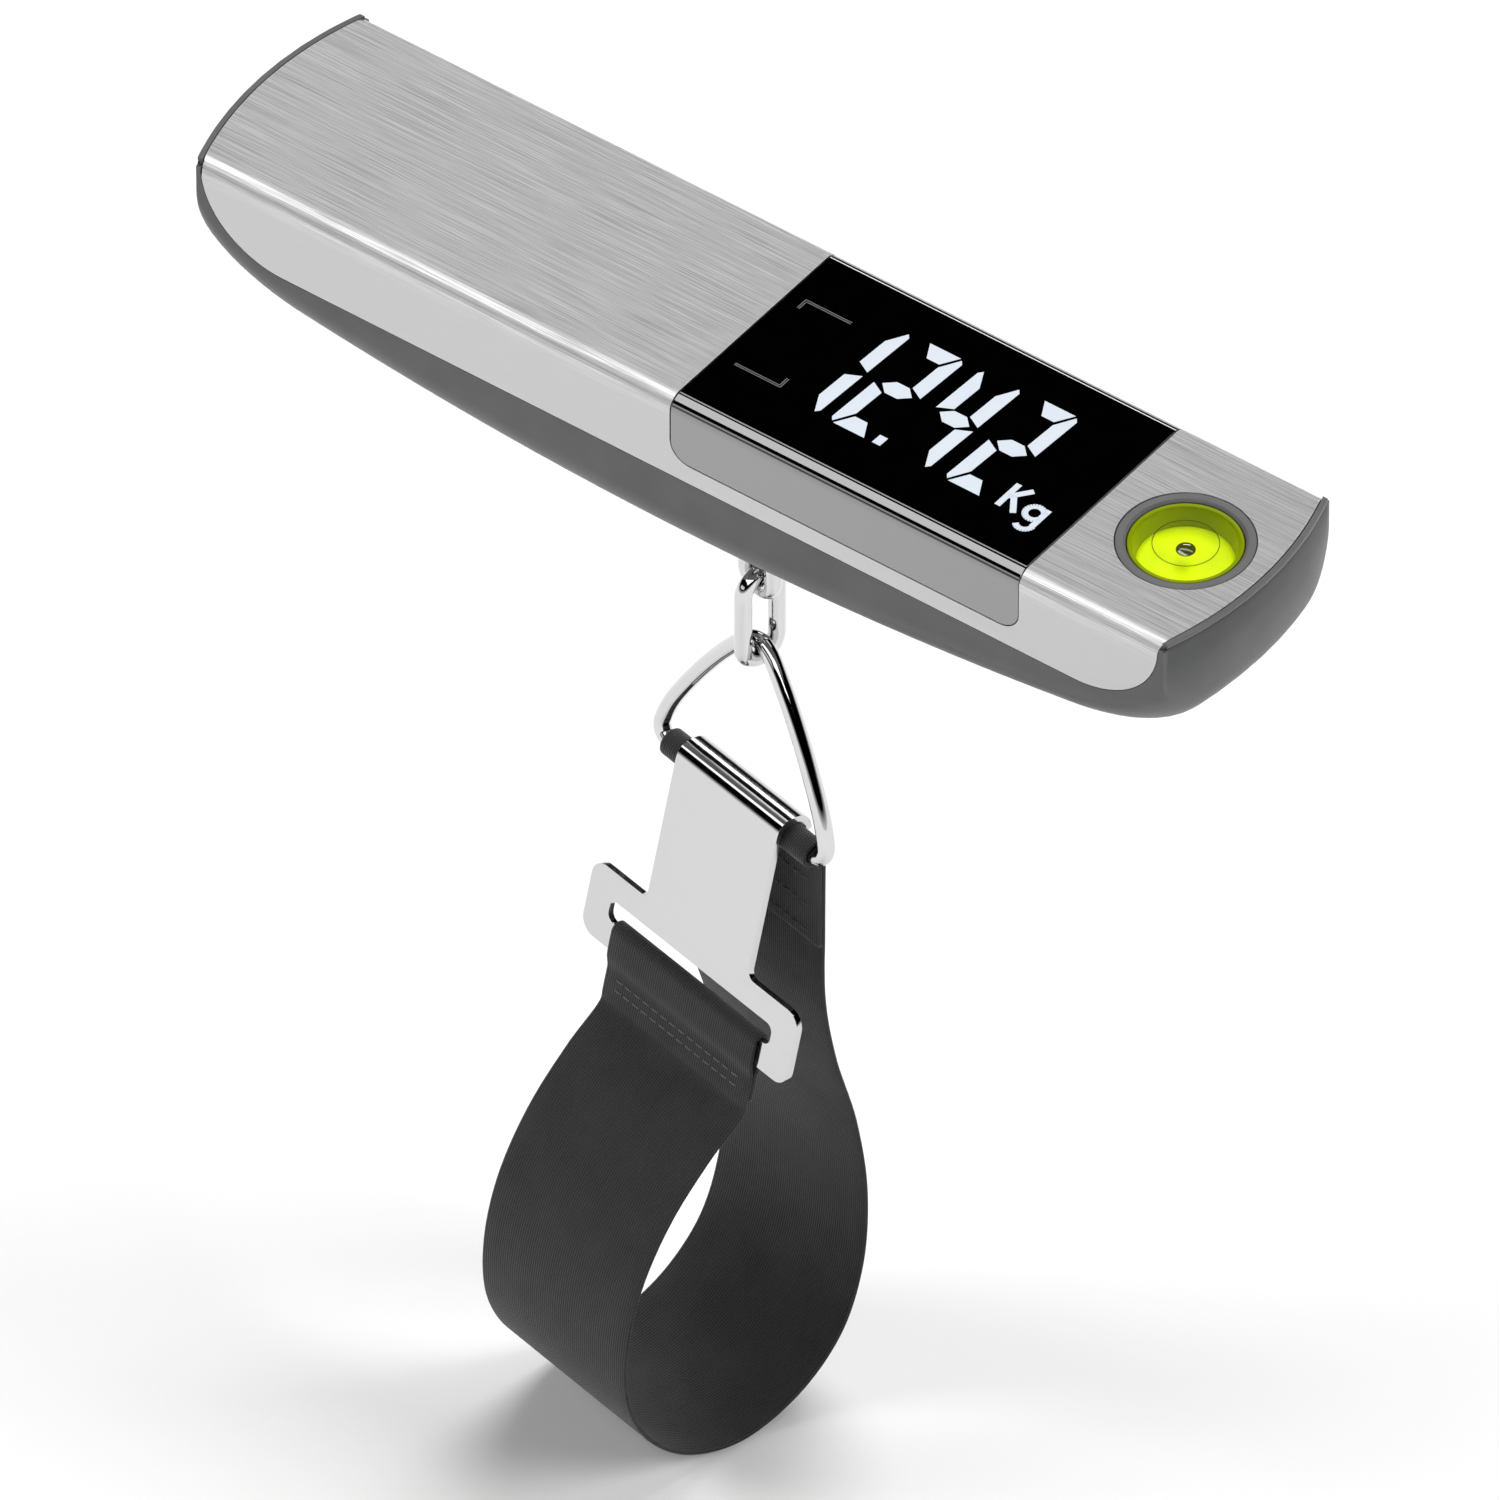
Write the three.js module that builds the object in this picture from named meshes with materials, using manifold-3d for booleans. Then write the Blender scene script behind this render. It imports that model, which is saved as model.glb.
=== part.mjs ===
// Digital luggage scale: a slim hand grip with a display and a bull's-eye level, and a swivelling
// wire link, D-ring, webbing loop and hook plate hanging below it.
// Millimetres, +Z up. The origin is the middle of the grip's top face, +X runs to the level end.
import * as THREE from "three";
import { mergeVertices } from "three/addons/utils/BufferGeometryUtils.js";
import Module from "manifold-3d";

const wasm = await Module();
wasm.setup();

// Grip, outside
const HALF_LENGTH = 80;          // middle of the plastic rim at each end
const COVER_HALF_LENGTH = 79.4;  // middle of the steel at each end
const END_RADIUS = 53;           // plan radius of both ends
const HALF_WIDTH = 17.9;
const BEND_RADIUS = 2.2;         // long top edges
const STEEL = 0.6;               // sheet thickness
const FLANGE_Z = -12.9;          // lower edge of the steel
const CORNER_X = 63;             // where the steel's lower corners start
const CORNER_RUN = 13.1;
const CORNER_RISE = 11.9;
const KEEL_DEPTH = 25.9;         // depth of the underside at mid length
const KEEL_RADIUS = 430;         // the underside's long curve
const LOWER_EDGE_RADIUS = 7;
const END_RUN = 16;              // the underside rounds up over this length at each end
const END_RISE = 7;
const FLOOR = 2.2;               // plastic thickness of the underside
const CAVITY_HALF_WIDTH = 15;
const WALL_TOP = -2.4;           // top edge of the plastic walls
const FIT = 0.15;                // clearance between neighbouring pieces

// Display
const WINDOW_FROM = -0.9;
const WINDOW_TO = 54.2;
const WINDOW_LOW = -9.9;
const WINDOW_CORNER = 3;
const WINDOW_THICK = 1.2;
const KEY_X = 5.2;

// Bull's-eye level
const LEVEL_X = 67.4;
const LEVEL_RADIUS = 9.05;
const LEVEL_VIEW_RADIUS = 7.5;
const LEVEL_FLOOR = -2.6;
const BUBBLE_RADIUS = 1.3;

// Battery bay
const DOOR = { from: -66, to: -22, halfWidth: 12.5, thick: 1, step: 1.5 };
const CELL_RADIUS = 5.2;
const CELL_LENGTH = 43.5;
const CELL_Y = 5.6;
const CELL_Z = -11.6;
const CELL_X = -43.6;

// Screws
const HOUSING_SCREWS = [[-13, -10.4], [-13, 10.4], [56.6, -10.4], [56.6, 10.4]];
const CELL_SCREW_X = [26, 34];

// Load cell
const BEAM = { from: -7, to: 39, halfWidth: 5.5, top: -11.6, bottom: -19 };
const SHANK_RADIUS = 2;

// Hanging group: it hangs on the Z axis, turned about it
const HANG_TURN = -12.5 * Math.PI / 180;
const WIRE = 1.2;                // wire radius of eye, link and ring
const PLAY = 0.15;               // slack between two linked wires
const EYE_HALF_WIDTH = 2.6;
const EYE_TOP = -34;
const EYE_BOTTOM = -45.05;       // middle of the eye's lowest wire
const LINK_HALF_WIDTH = 2.85;
const LINK_STRAIGHT = 8.8;
const RING_TILT = 6.5 * Math.PI / 180;
const RING_HEIGHT = 25.9;
const RING_HALF_WIDTH = 16.2;
const HOOK_TILT = 13 * Math.PI / 180;
const PLATE = 0.9;
const ROLL_INNER = 2.2;
const NECK_HALF_WIDTH = 10;
const SHOULDER = 21.2;           // distances down the plate from the bar's axis
const SLOT_TOP = 25.2;
const SLOT_BOTTOM = 28.4;
const FRAME_END = 32.4;
const FRAME_HALF_WIDTH = 20.3;
const SLOT_HALF_WIDTH = 16;
const SLOT_CORNER = 1.2;
const EAR_RADIUS = 2.4;
const NECK_FILLET = 1.2;
const ROLL_LIP = 10 * Math.PI / 180;   // the roll stops this far above the level of the bar
const WEB = 0.7;                 // webbing thickness
const WEB_HALF_WIDTH = 14.3;
const WRAP_INNER = 1.35;
const PATCH_END = -97.1;
const SEAM_END = 38.5;           // where the sewn sleeve ends, down the plate

// Middle line of the webbing from the bar, down the back, round the bottom and up to the sleeve
const WEB_ROUTE = [
  [-1.3, -94], [-1.2, -107], [0.6, -118.4], [4.2, -132.1], [6.1, -146.3], [5.2, -159],
  [1.5, -168.5], [-5.5, -174.6], [-15, -176.9], [-24, -173.9], [-30.6, -167.6], [-34.4, -159.5],
  [-35, -150], [-32.6, -139.5], [-27.4, -130.3], [-20.6, -123.2],
];

const COLOURS = {
  brushedSteel: [0xc4c6c8, 0.32, 0.95],
  housing: [0x55585a, 0.55, 0],
  window: [0x050506, 0.06, 0.1],
  glass: [0x9fb0b6, 0.08, 0],
  lightPanel: [0xf2f4ee, 0.5, 0],
  rubber: [0x3a3c40, 0.85, 0],
  board: [0x1d6b3c, 0.5, 0],
  aluminium: [0xbfc3c7, 0.35, 0.9],
  zinc: [0xa8abae, 0.3, 0.95],
  brass: [0xc9a452, 0.3, 0.95],
  chrome: [0xe2e4e6, 0.06, 1],
  liquid: [0xd8f000, 0.15, 0],
  bubble: [0xf4ffd0, 0.05, 0],
  lens: [0xf2ffc0, 0.03, 0],
  levelRing: [0x63666a, 0.5, 0],
  cell: [0x2f6fb3, 0.35, 0.3],
  web: [0x2b2c2e, 0.9, 0],
  wire: [0xb3202a, 0.6, 0],
};

// ---------- helpers ----------

function solid(geometry) {
  const plain = geometry.clone();
  plain.deleteAttribute("normal");
  plain.deleteAttribute("uv");
  const merged = mergeVertices(plain, 1e-4);
  return new wasm.Manifold(new wasm.Mesh({
    numProp: 3,
    vertProperties: new Float32Array(merged.attributes.position.array),
    triVerts: new Uint32Array(merged.index.array),
  }));
}

function geometryOf(manifold) {
  const mesh = manifold.getMesh();
  const geometry = new THREE.BufferGeometry();
  geometry.setAttribute("position", new THREE.BufferAttribute(mesh.vertProperties, 3));
  geometry.setIndex(new THREE.BufferAttribute(mesh.triVerts, 1));
  geometry.computeVertexNormals();
  return geometry;
}

function joined(first, ...others) {
  return others.reduce((sum, other) => sum.add(other), first);
}

function without(first, ...others) {
  return others.reduce((rest, other) => rest.subtract(other), first);
}

function block(x0, x1, y0, y1, z0, z1) {
  const box = new THREE.BoxGeometry(x1 - x0, y1 - y0, z1 - z0);
  return box.translate((x0 + x1) / 2, (y0 + y1) / 2, (z0 + z1) / 2);
}

function drum(x, y, radius, z0, z1, sides = 24) {
  const cylinder = new THREE.CylinderGeometry(radius, radius, z1 - z0, sides);
  return cylinder.rotateX(Math.PI / 2).translate(x, y, (z0 + z1) / 2);
}

function roll(x, z, radius, y0, y1, sides = 20) {
  const cylinder = new THREE.CylinderGeometry(radius, radius, y1 - y0, sides);
  return cylinder.translate(x, (y0 + y1) / 2, z);
}

function pipe(x, y, outer, inner, z0, z1, sides = 24, boreSides = sides) {
  const bore = solid(drum(x, y, inner, z0 - 1, z1 + 1, boreSides));
  return solid(drum(x, y, outer, z0, z1, sides)).subtract(bore);
}

function extruded(shape, depth, curveSegments = 10) {
  return new THREE.ExtrudeGeometry(shape, { depth, bevelEnabled: false, curveSegments });
}

// A shape drawn in X and Z, run along Y
function prismY(shape, y0, y1, curveSegments) {
  return extruded(shape, y1 - y0, curveSegments).rotateX(Math.PI / 2).translate(0, y1, 0);
}

// A shape drawn in Y and Z, run along X
function prismX(shape, x0, x1, curveSegments) {
  const turn = new THREE.Matrix4().makeBasis(
    new THREE.Vector3(0, 1, 0),
    new THREE.Vector3(0, 0, 1),
    new THREE.Vector3(1, 0, 0),
  );
  return extruded(shape, x1 - x0, curveSegments).applyMatrix4(turn).translate(x0, 0, 0);
}

function outline(points) {
  return new THREE.Shape(points.map(([a, b]) => new THREE.Vector2(a, b)));
}

function wireLoop(points, steps, sides = 8) {
  const curve = new THREE.CatmullRomCurve3(points, true, "centripetal");
  return new THREE.TubeGeometry(curve, steps, WIRE, sides, true);
}

function lead(points, radius) {
  const curve = new THREE.CatmullRomCurve3(points.map((p) => new THREE.Vector3(...p)));
  const section = new THREE.Shape();
  section.absarc(0, 0, radius, 0, 2 * Math.PI);
  return new THREE.ExtrudeGeometry(section, { steps: 14, curveSegments: 4, extrudePath: curve });
}

// ---------- grip outline ----------

function endX(y, halfLength) {
  return halfLength - (END_RADIUS - Math.sqrt(END_RADIUS ** 2 - y ** 2));
}

function planShape(halfLength, halfWidth) {
  const rows = 12;
  const right = [];
  for (let i = 0; i <= rows; i += 1) {
    const y = halfWidth * (2 * i / rows - 1);
    right.push([endX(y, halfLength), y]);
  }
  return outline([...right, ...right.map(([x, y]) => [-x, -y])]);
}

function keel(x) {
  return KEEL_DEPTH - x * x / (2 * KEEL_RADIUS);
}

function roundUp(distance, run, rise) {
  const t = Math.min(Math.max(distance / run, 0), 1);
  return rise * (1 - Math.sqrt(1 - t * t));
}

// How far in from its outer end each step of a rounded stretch lies
function roundSteps(length) {
  return [25, 45, 65, 80, 90].map((degrees) => length * (1 - Math.sin(degrees * Math.PI / 180)));
}

function bothWays(values) {
  return [...values.slice(1).reverse().map((value) => -value), ...values];
}

function hullColumns(halfWidth, edge) {
  const flat = [0, 0.4, 0.8, 1].map((t) => t * (halfWidth - edge));
  return bothWays([...flat, ...roundSteps(edge).map((inward) => halfWidth - inward)]);
}

function hullStations(tip) {
  const flat = [0, 0.25, 0.5, 0.75, 1].map((t) => t * (1 - tip));
  return bothWays([...flat, ...roundSteps(tip).map((inward) => 1 - inward)]);
}

// Closed body between two grids of points, one above the other
function closedGrid(upper, lower) {
  const long = upper.length;
  const wide = upper[0].length;
  const above = (i, j) => i * wide + j;
  const below = (i, j) => (long + i) * wide + j;
  const faces = [];
  const quad = (a, b, c, d) => faces.push(a, b, c, a, c, d);
  for (let i = 0; i < long - 1; i += 1) {
    for (let j = 0; j < wide - 1; j += 1) {
      quad(above(i, j), above(i + 1, j), above(i + 1, j + 1), above(i, j + 1));
      quad(below(i, j), below(i, j + 1), below(i + 1, j + 1), below(i + 1, j));
    }
    quad(below(i, 0), below(i + 1, 0), above(i + 1, 0), above(i, 0));
    quad(below(i + 1, wide - 1), below(i, wide - 1), above(i, wide - 1), above(i + 1, wide - 1));
  }
  for (let j = 0; j < wide - 1; j += 1) {
    quad(below(0, j + 1), below(0, j), above(0, j), above(0, j + 1));
    quad(below(long - 1, j), below(long - 1, j + 1), above(long - 1, j + 1), above(long - 1, j));
  }
  const geometry = new THREE.BufferGeometry();
  geometry.setAttribute("position", new THREE.Float32BufferAttribute([upper, lower].flat(3), 3));
  geometry.setIndex(faces);
  return geometry;
}

// Body of the grip between a flat top and the boat-shaped underside, drawn in by `inset`
function hull(inset, halfWidth, top) {
  const edge = LOWER_EDGE_RADIUS - inset;
  const run = END_RUN - inset;
  const halfLength = HALF_LENGTH - inset;
  const under = (x, y) => {
    const sideRise = roundUp(Math.abs(y) - (halfWidth - edge), edge, edge);
    const endRise = roundUp(Math.abs(x) - (endX(y, halfLength) - run), run, END_RISE);
    return inset - keel(x) + sideRise + endRise;
  };
  const columns = hullColumns(halfWidth, edge);
  const stations = hullStations(run / halfLength);
  const upper = stations.map((s) => columns.map((y) => [s * endX(y, halfLength), y, top]));
  const lower = upper.map((row) => row.map(([x, y]) => [x, y, under(x, y)]));
  return closedGrid(upper, lower);
}

// Side view of the steel, its lower corners swept up to the ends
function flangeShape(grow) {
  const low = FLANGE_Z - grow;
  const high = low + CORNER_RISE + grow;
  const run = CORNER_RUN + grow;
  const shape = new THREE.Shape();
  shape.moveTo(-HALF_LENGTH - 1, 1);
  shape.lineTo(-HALF_LENGTH - 1, high);
  shape.lineTo(-CORNER_X - run, high);
  shape.absellipse(-CORNER_X, high, run, high - low, Math.PI, 1.5 * Math.PI, false);
  shape.absellipse(CORNER_X, high, run, high - low, 1.5 * Math.PI, 2 * Math.PI, false);
  shape.lineTo(HALF_LENGTH + 1, high);
  shape.lineTo(HALF_LENGTH + 1, 1);
  return shape;
}

function windowShape(grow) {
  const from = WINDOW_FROM - grow;
  const to = WINDOW_TO + grow;
  const low = WINDOW_LOW - grow;
  const corner = WINDOW_CORNER + grow;
  const shape = new THREE.Shape();
  shape.moveTo(from, 1);
  shape.lineTo(from, low + corner);
  shape.absarc(from + corner, low + corner, corner, Math.PI, 1.5 * Math.PI, false);
  shape.absarc(to - corner, low + corner, corner, 1.5 * Math.PI, 2 * Math.PI, false);
  shape.lineTo(to, 1);
  return shape;
}

// Folded sheet: a flat top with rounded long edges and two side flanges
function foldedShape(thick, low) {
  const inner = HALF_WIDTH - thick;
  const middle = HALF_WIDTH - BEND_RADIUS;
  const shape = new THREE.Shape();
  shape.moveTo(HALF_WIDTH, low);
  shape.absarc(middle, -BEND_RADIUS, BEND_RADIUS, 0, Math.PI / 2, false);
  shape.absarc(-middle, -BEND_RADIUS, BEND_RADIUS, Math.PI / 2, Math.PI, false);
  shape.lineTo(-HALF_WIDTH, low);
  shape.lineTo(-inner, low);
  shape.absarc(-middle, -BEND_RADIUS, BEND_RADIUS - thick, Math.PI, Math.PI / 2, true);
  shape.absarc(middle, -BEND_RADIUS, BEND_RADIUS - thick, Math.PI / 2, 0, true);
  shape.lineTo(inner, low);
  return shape;
}

// ---------- grip pieces ----------

function steelCover() {
  const sheet = solid(prismX(foldedShape(STEEL, -20), -HALF_LENGTH, HALF_LENGTH, 6));
  const plan = solid(extruded(planShape(COVER_HALF_LENGTH, HALF_WIDTH + 1), 30).translate(0, 0, -25));
  const side = solid(prismY(flangeShape(0), -30, 30, 10));
  const display = solid(prismY(windowShape(FIT), -30, 30, 6));
  const eye = solid(drum(LEVEL_X, 0, LEVEL_RADIUS + FIT, -5, 5, 40));
  return without(sheet.intersect(plan).intersect(side), display, eye);
}

function displayWindow() {
  const sheet = solid(prismX(foldedShape(WINDOW_THICK, -20), WINDOW_FROM - 1, WINDOW_TO + 1, 6));
  return sheet.intersect(solid(prismY(windowShape(0), -30, 30, 6)));
}

function sideCuts(shape, from) {
  return joined(solid(prismY(shape, from, 30, 8)), solid(prismY(shape, -30, -from, 8)));
}

function doorBlock(grow, z0, z1) {
  const half = DOOR.halfWidth + grow;
  return solid(block(DOOR.from - grow, DOOR.to + grow, -half, half, z0, z1));
}

// The outer skin of the underside, `thick` deep
function skin(from, thick) {
  const outer = solid(hull(from, HALF_WIDTH - from, 0));
  const deeper = from + thick;
  return outer.subtract(solid(hull(deeper, HALF_WIDTH - deeper, 5)));
}

function baseHousing() {
  const outer = solid(hull(0, HALF_WIDTH, 0));
  const cavity = solid(hull(FLOOR, CAVITY_HALF_WIDTH, 1));
  const shell = without(
    outer,
    cavity,
    solid(extruded(planShape(COVER_HALF_LENGTH + FIT, HALF_WIDTH + 1), 5).translate(0, 0, WALL_TOP)),
    sideCuts(flangeShape(FIT), HALF_WIDTH - STEEL - FIT),
    sideCuts(windowShape(2 * FIT), HALF_WIDTH - WINDOW_THICK - FIT),
  );
  const inside = solid(hull(1, CAVITY_HALF_WIDTH + 1, WALL_TOP));
  const posts = HOUSING_SCREWS.map(([x, y]) => solid(drum(x, y, 2.9, -24.5, -8, 16)));
  const bosses = CELL_SCREW_X.map((x) => solid(drum(x, 0, 3.2, -25, BEAM.bottom - FIT, 16)));
  const ribs = [
    solid(block(-70.6, -69.4, -CAVITY_HALF_WIDTH - 0.5, CAVITY_HALF_WIDTH + 0.5, -24, -5)),
    solid(block(-18.6, -17.4, -CAVITY_HALF_WIDTH - 0.5, CAVITY_HALF_WIDTH + 0.5, -25, -8)),
  ];
  const fittings = joined(...posts, ...bosses, ...ribs).intersect(inside);
  const holes = [
    ...HOUSING_SCREWS.map(([x, y]) => solid(drum(x, y, 1.4, -30, 0, 14))),
    ...HOUSING_SCREWS.map(([x, y]) => solid(drum(x, y, 2.9, -30, -keel(x) + 2.4, 18))),
    ...CELL_SCREW_X.map((x) => solid(drum(x, 0, 1.4, -23, 0, 14))),
    solid(drum(0, 0, 5.4, -30, -20, 28)),
  ];
  const recess = doorBlock(0.25, -30, 0).intersect(skin(-0.5, DOOR.thick + 0.65));
  const opening = doorBlock(-DOOR.step, -30, -15);
  return without(joined(shell, fittings), ...holes, recess, opening);
}

function batteryDoor() {
  const plate = doorBlock(0, -30, 0).intersect(skin(0, DOOR.thick));
  const grips = [-60, -58, -56].map((x) => solid(roll(x, -keel(x) - 0.35, 0.7, -5, 5, 12)));
  return without(plate, ...grips);
}

function topFrame() {
  const plate = solid(extruded(planShape(77, 15.9), 1.45).translate(0, 0, -2.3));
  const posts = HOUSING_SCREWS.map(([x, y]) => solid(drum(x, y, 2.4, -7.8, -1, 16)));
  const bores = HOUSING_SCREWS.map(([x, y]) => solid(drum(x, y, 1.4, -9, -1.6, 14)));
  return without(
    joined(plate, ...posts),
    solid(block(WINDOW_FROM - 0.4, WINDOW_TO + 0.4, -20, 20, -1.5, 1)),
    solid(block(WINDOW_FROM + 1, WINDOW_TO - 1, -13.2, 13.2, -3, 1)),
    solid(drum(LEVEL_X, 0, LEVEL_RADIUS + 2 * FIT, -5, 5, 32)),
    ...bores,
  );
}

function housingScrew(x, y) {
  const head = solid(drum(x, y, 2.6, -keel(x) + 0.6, -keel(x) + 2.2, 16));
  const shank = solid(drum(x, y, 1.1, -keel(x) + 1.5, -3.5, 12));
  const drive = joined(
    solid(block(x - 1.4, x + 1.4, y - 0.25, y + 0.25, -40, -keel(x) + 1.2)),
    solid(block(x - 0.25, x + 0.25, y - 1.4, y + 1.4, -40, -keel(x) + 1.2)),
  );
  return joined(head, shank).subtract(drive);
}

// ---------- display and electronics ----------

function lcdModule() {
  const glass = solid(block(8, 52, -12.5, 12.5, -3.6, -1.5));
  const ledge = solid(block(49.5, 53, -13, 13, -5, -2.6));
  return glass.subtract(ledge);
}

function mainBoard() {
  const board = solid(block(-8, 52.6, -13, 13, -6.9, -5.7));
  const notch = solid(block(-9, -4, 4, 14, -8, -5));
  const chip = solid(block(30, 38, -4, 4, -8, -6.8));
  return joined(board.subtract(notch), chip);
}

function touchSpring() {
  const low = -5.45;
  const high = -1.45;
  const turns = [
    [0, low], [2.2, low], [2.2, low + 0.55], [1.4, low + 0.85],
    [1.4, high - 1.15], [2.6, high - 0.75], [2.6, high], [0, high],
  ];
  const profile = turns.map(([r, z]) => new THREE.Vector2(r, z));
  return new THREE.LatheGeometry(profile, 16).rotateX(Math.PI / 2).translate(KEY_X, 0, 0);
}

function loadCell() {
  const middle = (BEAM.top + BEAM.bottom) / 2;
  const beam = solid(block(BEAM.from, BEAM.to, -BEAM.halfWidth, BEAM.halfWidth, BEAM.bottom, BEAM.top));
  return without(
    beam,
    solid(roll(9.5, middle, 2.7, -9, 9, 20)),
    solid(roll(18.5, middle, 2.7, -9, 9, 20)),
    solid(block(9.5, 18.5, -9, 9, middle - 0.8, middle + 0.8)),
    solid(drum(0, 0, SHANK_RADIUS + 0.4, -30, 0, 20)),
    ...CELL_SCREW_X.map((x) => solid(drum(x, 0, 1.6, -30, 0, 14))),
  );
}

function cellScrew(x) {
  return joined(
    solid(drum(x, 0, 2.8, BEAM.top + FIT, BEAM.top + 2, 16)),
    solid(drum(x, 0, 1.1, -22.4, BEAM.top + 1, 12)),
  );
}

// A flanged ring in the underside that the eye's shank comes out of
function outletBush() {
  const sleeve = pipe(0, 0, 5.2, 3.3, -26, -22.8, 28);
  const flange = pipe(0, 0, 6.6, 3.3, -26.8, -25.95, 28);
  return joined(sleeve, flange);
}

// ---------- level ----------

function levelRing() {
  return pipe(LEVEL_X, 0, LEVEL_RADIUS, LEVEL_VIEW_RADIUS, -3, 0, 40);
}

function levelCup() {
  const cup = solid(drum(LEVEL_X, 0, LEVEL_VIEW_RADIUS - FIT, LEVEL_FLOOR - 1.2, -0.35, 36));
  return cup.subtract(solid(drum(LEVEL_X, 0, LEVEL_VIEW_RADIUS - 0.6, LEVEL_FLOOR, 1, 36)));
}

function levelLens() {
  return drum(LEVEL_X, 0, LEVEL_VIEW_RADIUS - 0.75, -1.05, -0.4, 36);
}

function levelBubble() {
  const ball = new THREE.SphereGeometry(1, 16, 10).rotateX(Math.PI / 2);
  return ball.scale(BUBBLE_RADIUS, BUBBLE_RADIUS, 0.5).translate(LEVEL_X, 0, -1.75);
}

// ---------- batteries ----------

function cell(y, facing) {
  const half = CELL_LENGTH / 2;
  const cap = half + 0.9;
  const profile = [[0, -half], [CELL_RADIUS, -half], [CELL_RADIUS, half], [1.9, half], [1.9, cap], [0, cap]];
  const lathe = new THREE.LatheGeometry(profile.map(([r, h]) => new THREE.Vector2(r, h)), 20);
  return lathe.rotateZ(-facing * Math.PI / 2).translate(CELL_X, y, CELL_Z);
}

function contactSpring(x, y, facing) {
  const profile = [[0, 0], [3.6, 0], [3.6, 0.5], [1.6, 1.6], [1.6, 1.9], [0, 1.9]];
  const lathe = new THREE.LatheGeometry(profile.map(([r, h]) => new THREE.Vector2(r, h)), 14);
  return lathe.rotateZ(-facing * Math.PI / 2).translate(x, y, CELL_Z);
}

// ---------- hanging group, drawn in its own turned frame ----------

function racetrack(halfWidth, top, bottom, place) {
  const points = [];
  for (let i = 0; i <= 6; i += 1) {
    const a = Math.PI * i / 6;
    points.push(place(halfWidth * Math.cos(a), top + halfWidth * Math.sin(a)));
  }
  points.push(place(-halfWidth, (top + bottom) / 2));
  for (let i = 0; i <= 6; i += 1) {
    const a = Math.PI * (1 + i / 6);
    points.push(place(halfWidth * Math.cos(a), bottom + halfWidth * Math.sin(a)));
  }
  points.push(place(halfWidth, (top + bottom) / 2));
  return points;
}

function swivelEye() {
  const track = racetrack(
    EYE_HALF_WIDTH,
    EYE_TOP,
    EYE_BOTTOM + EYE_HALF_WIDTH,
    (a, z) => new THREE.Vector3(a, 0, z),
  );
  const shank = solid(drum(0, 0, SHANK_RADIUS, EYE_TOP + EYE_HALF_WIDTH - 0.6, -7.8, 16));
  const collar = solid(drum(0, 0, 3, EYE_TOP + EYE_HALF_WIDTH - 0.4, -29.6, 16));
  return joined(solid(wireLoop(track, 36)), shank, collar);
}

function chainLink() {
  const top = EYE_BOTTOM + 2 * WIRE + PLAY - LINK_HALF_WIDTH;
  const track = racetrack(
    LINK_HALF_WIDTH,
    top,
    top - LINK_STRAIGHT,
    (a, z) => new THREE.Vector3(0, a, z),
  );
  return wireLoop(track, 36);
}

const LINK_BOTTOM = EYE_BOTTOM + 2 * WIRE + PLAY - 2 * LINK_HALF_WIDTH - LINK_STRAIGHT;
const RING_APEX = LINK_BOTTOM + 2 * WIRE + PLAY;
const BAR = { y: -RING_HEIGHT * Math.sin(RING_TILT), z: RING_APEX - RING_HEIGHT * Math.cos(RING_TILT) };

function dRing() {
  const corner = 1.9;
  const side = [
    [2, 0.8], [5.4, 4.6], [9.2, 9.9], [12.4, 15.1], [14.8, 19.6], [15.95, 22.8],
    [RING_HALF_WIDTH - 0.05, RING_HEIGHT - corner],
    [RING_HALF_WIDTH - 0.56, RING_HEIGHT - 0.56],
    [RING_HALF_WIDTH - corner, RING_HEIGHT],
    [10.5, RING_HEIGHT], [5.5, RING_HEIGHT],
  ];
  const track = [[0, 0], ...side, [0, RING_HEIGHT], ...side.map(([u, d]) => [-u, d]).reverse()];
  return wireLoop(track.map(([u, d]) => new THREE.Vector3(u, 0, -d)), 64);
}

function arcPoints(radius, from, to, count) {
  const points = [];
  for (let i = 0; i <= count; i += 1) {
    const a = from + (to - from) * i / count;
    points.push([radius * Math.cos(a), radius * Math.sin(a)]);
  }
  return points;
}

// The hook plate's outline: a neck, and a wider foot with round ears
function hookFace() {
  const neck = NECK_HALF_WIDTH + NECK_FILLET;
  const ear = FRAME_HALF_WIDTH - EAR_RADIUS;
  const quarter = Math.PI / 2;
  const face = new THREE.Shape();
  face.moveTo(NECK_HALF_WIDTH, 0);
  face.absarc(neck, -SHOULDER + NECK_FILLET, NECK_FILLET, 2 * quarter, 3 * quarter, false);
  face.absarc(ear, -SHOULDER - EAR_RADIUS, EAR_RADIUS, quarter, 0, true);
  face.absarc(ear, -FRAME_END + EAR_RADIUS, EAR_RADIUS, 0, -quarter, true);
  face.absarc(-ear, -FRAME_END + EAR_RADIUS, EAR_RADIUS, -quarter, -2 * quarter, true);
  face.absarc(-ear, -SHOULDER - EAR_RADIUS, EAR_RADIUS, 2 * quarter, quarter, true);
  face.absarc(-neck, -SHOULDER + NECK_FILLET, NECK_FILLET, 3 * quarter, 4 * quarter, false);
  face.lineTo(-NECK_HALF_WIDTH, 0);
  return face;
}

function hookSlot() {
  const end = SLOT_HALF_WIDTH - SLOT_CORNER;
  const quarter = Math.PI / 2;
  const slot = new THREE.Path();
  slot.absarc(end, -SLOT_BOTTOM + SLOT_CORNER, SLOT_CORNER, -quarter, 0, false);
  slot.absarc(end, -SLOT_TOP - SLOT_CORNER, SLOT_CORNER, 0, quarter, false);
  slot.absarc(-end, -SLOT_TOP - SLOT_CORNER, SLOT_CORNER, quarter, 2 * quarter, false);
  slot.absarc(-end, -SLOT_BOTTOM + SLOT_CORNER, SLOT_CORNER, 2 * quarter, 3 * quarter, false);
  return slot;
}

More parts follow.
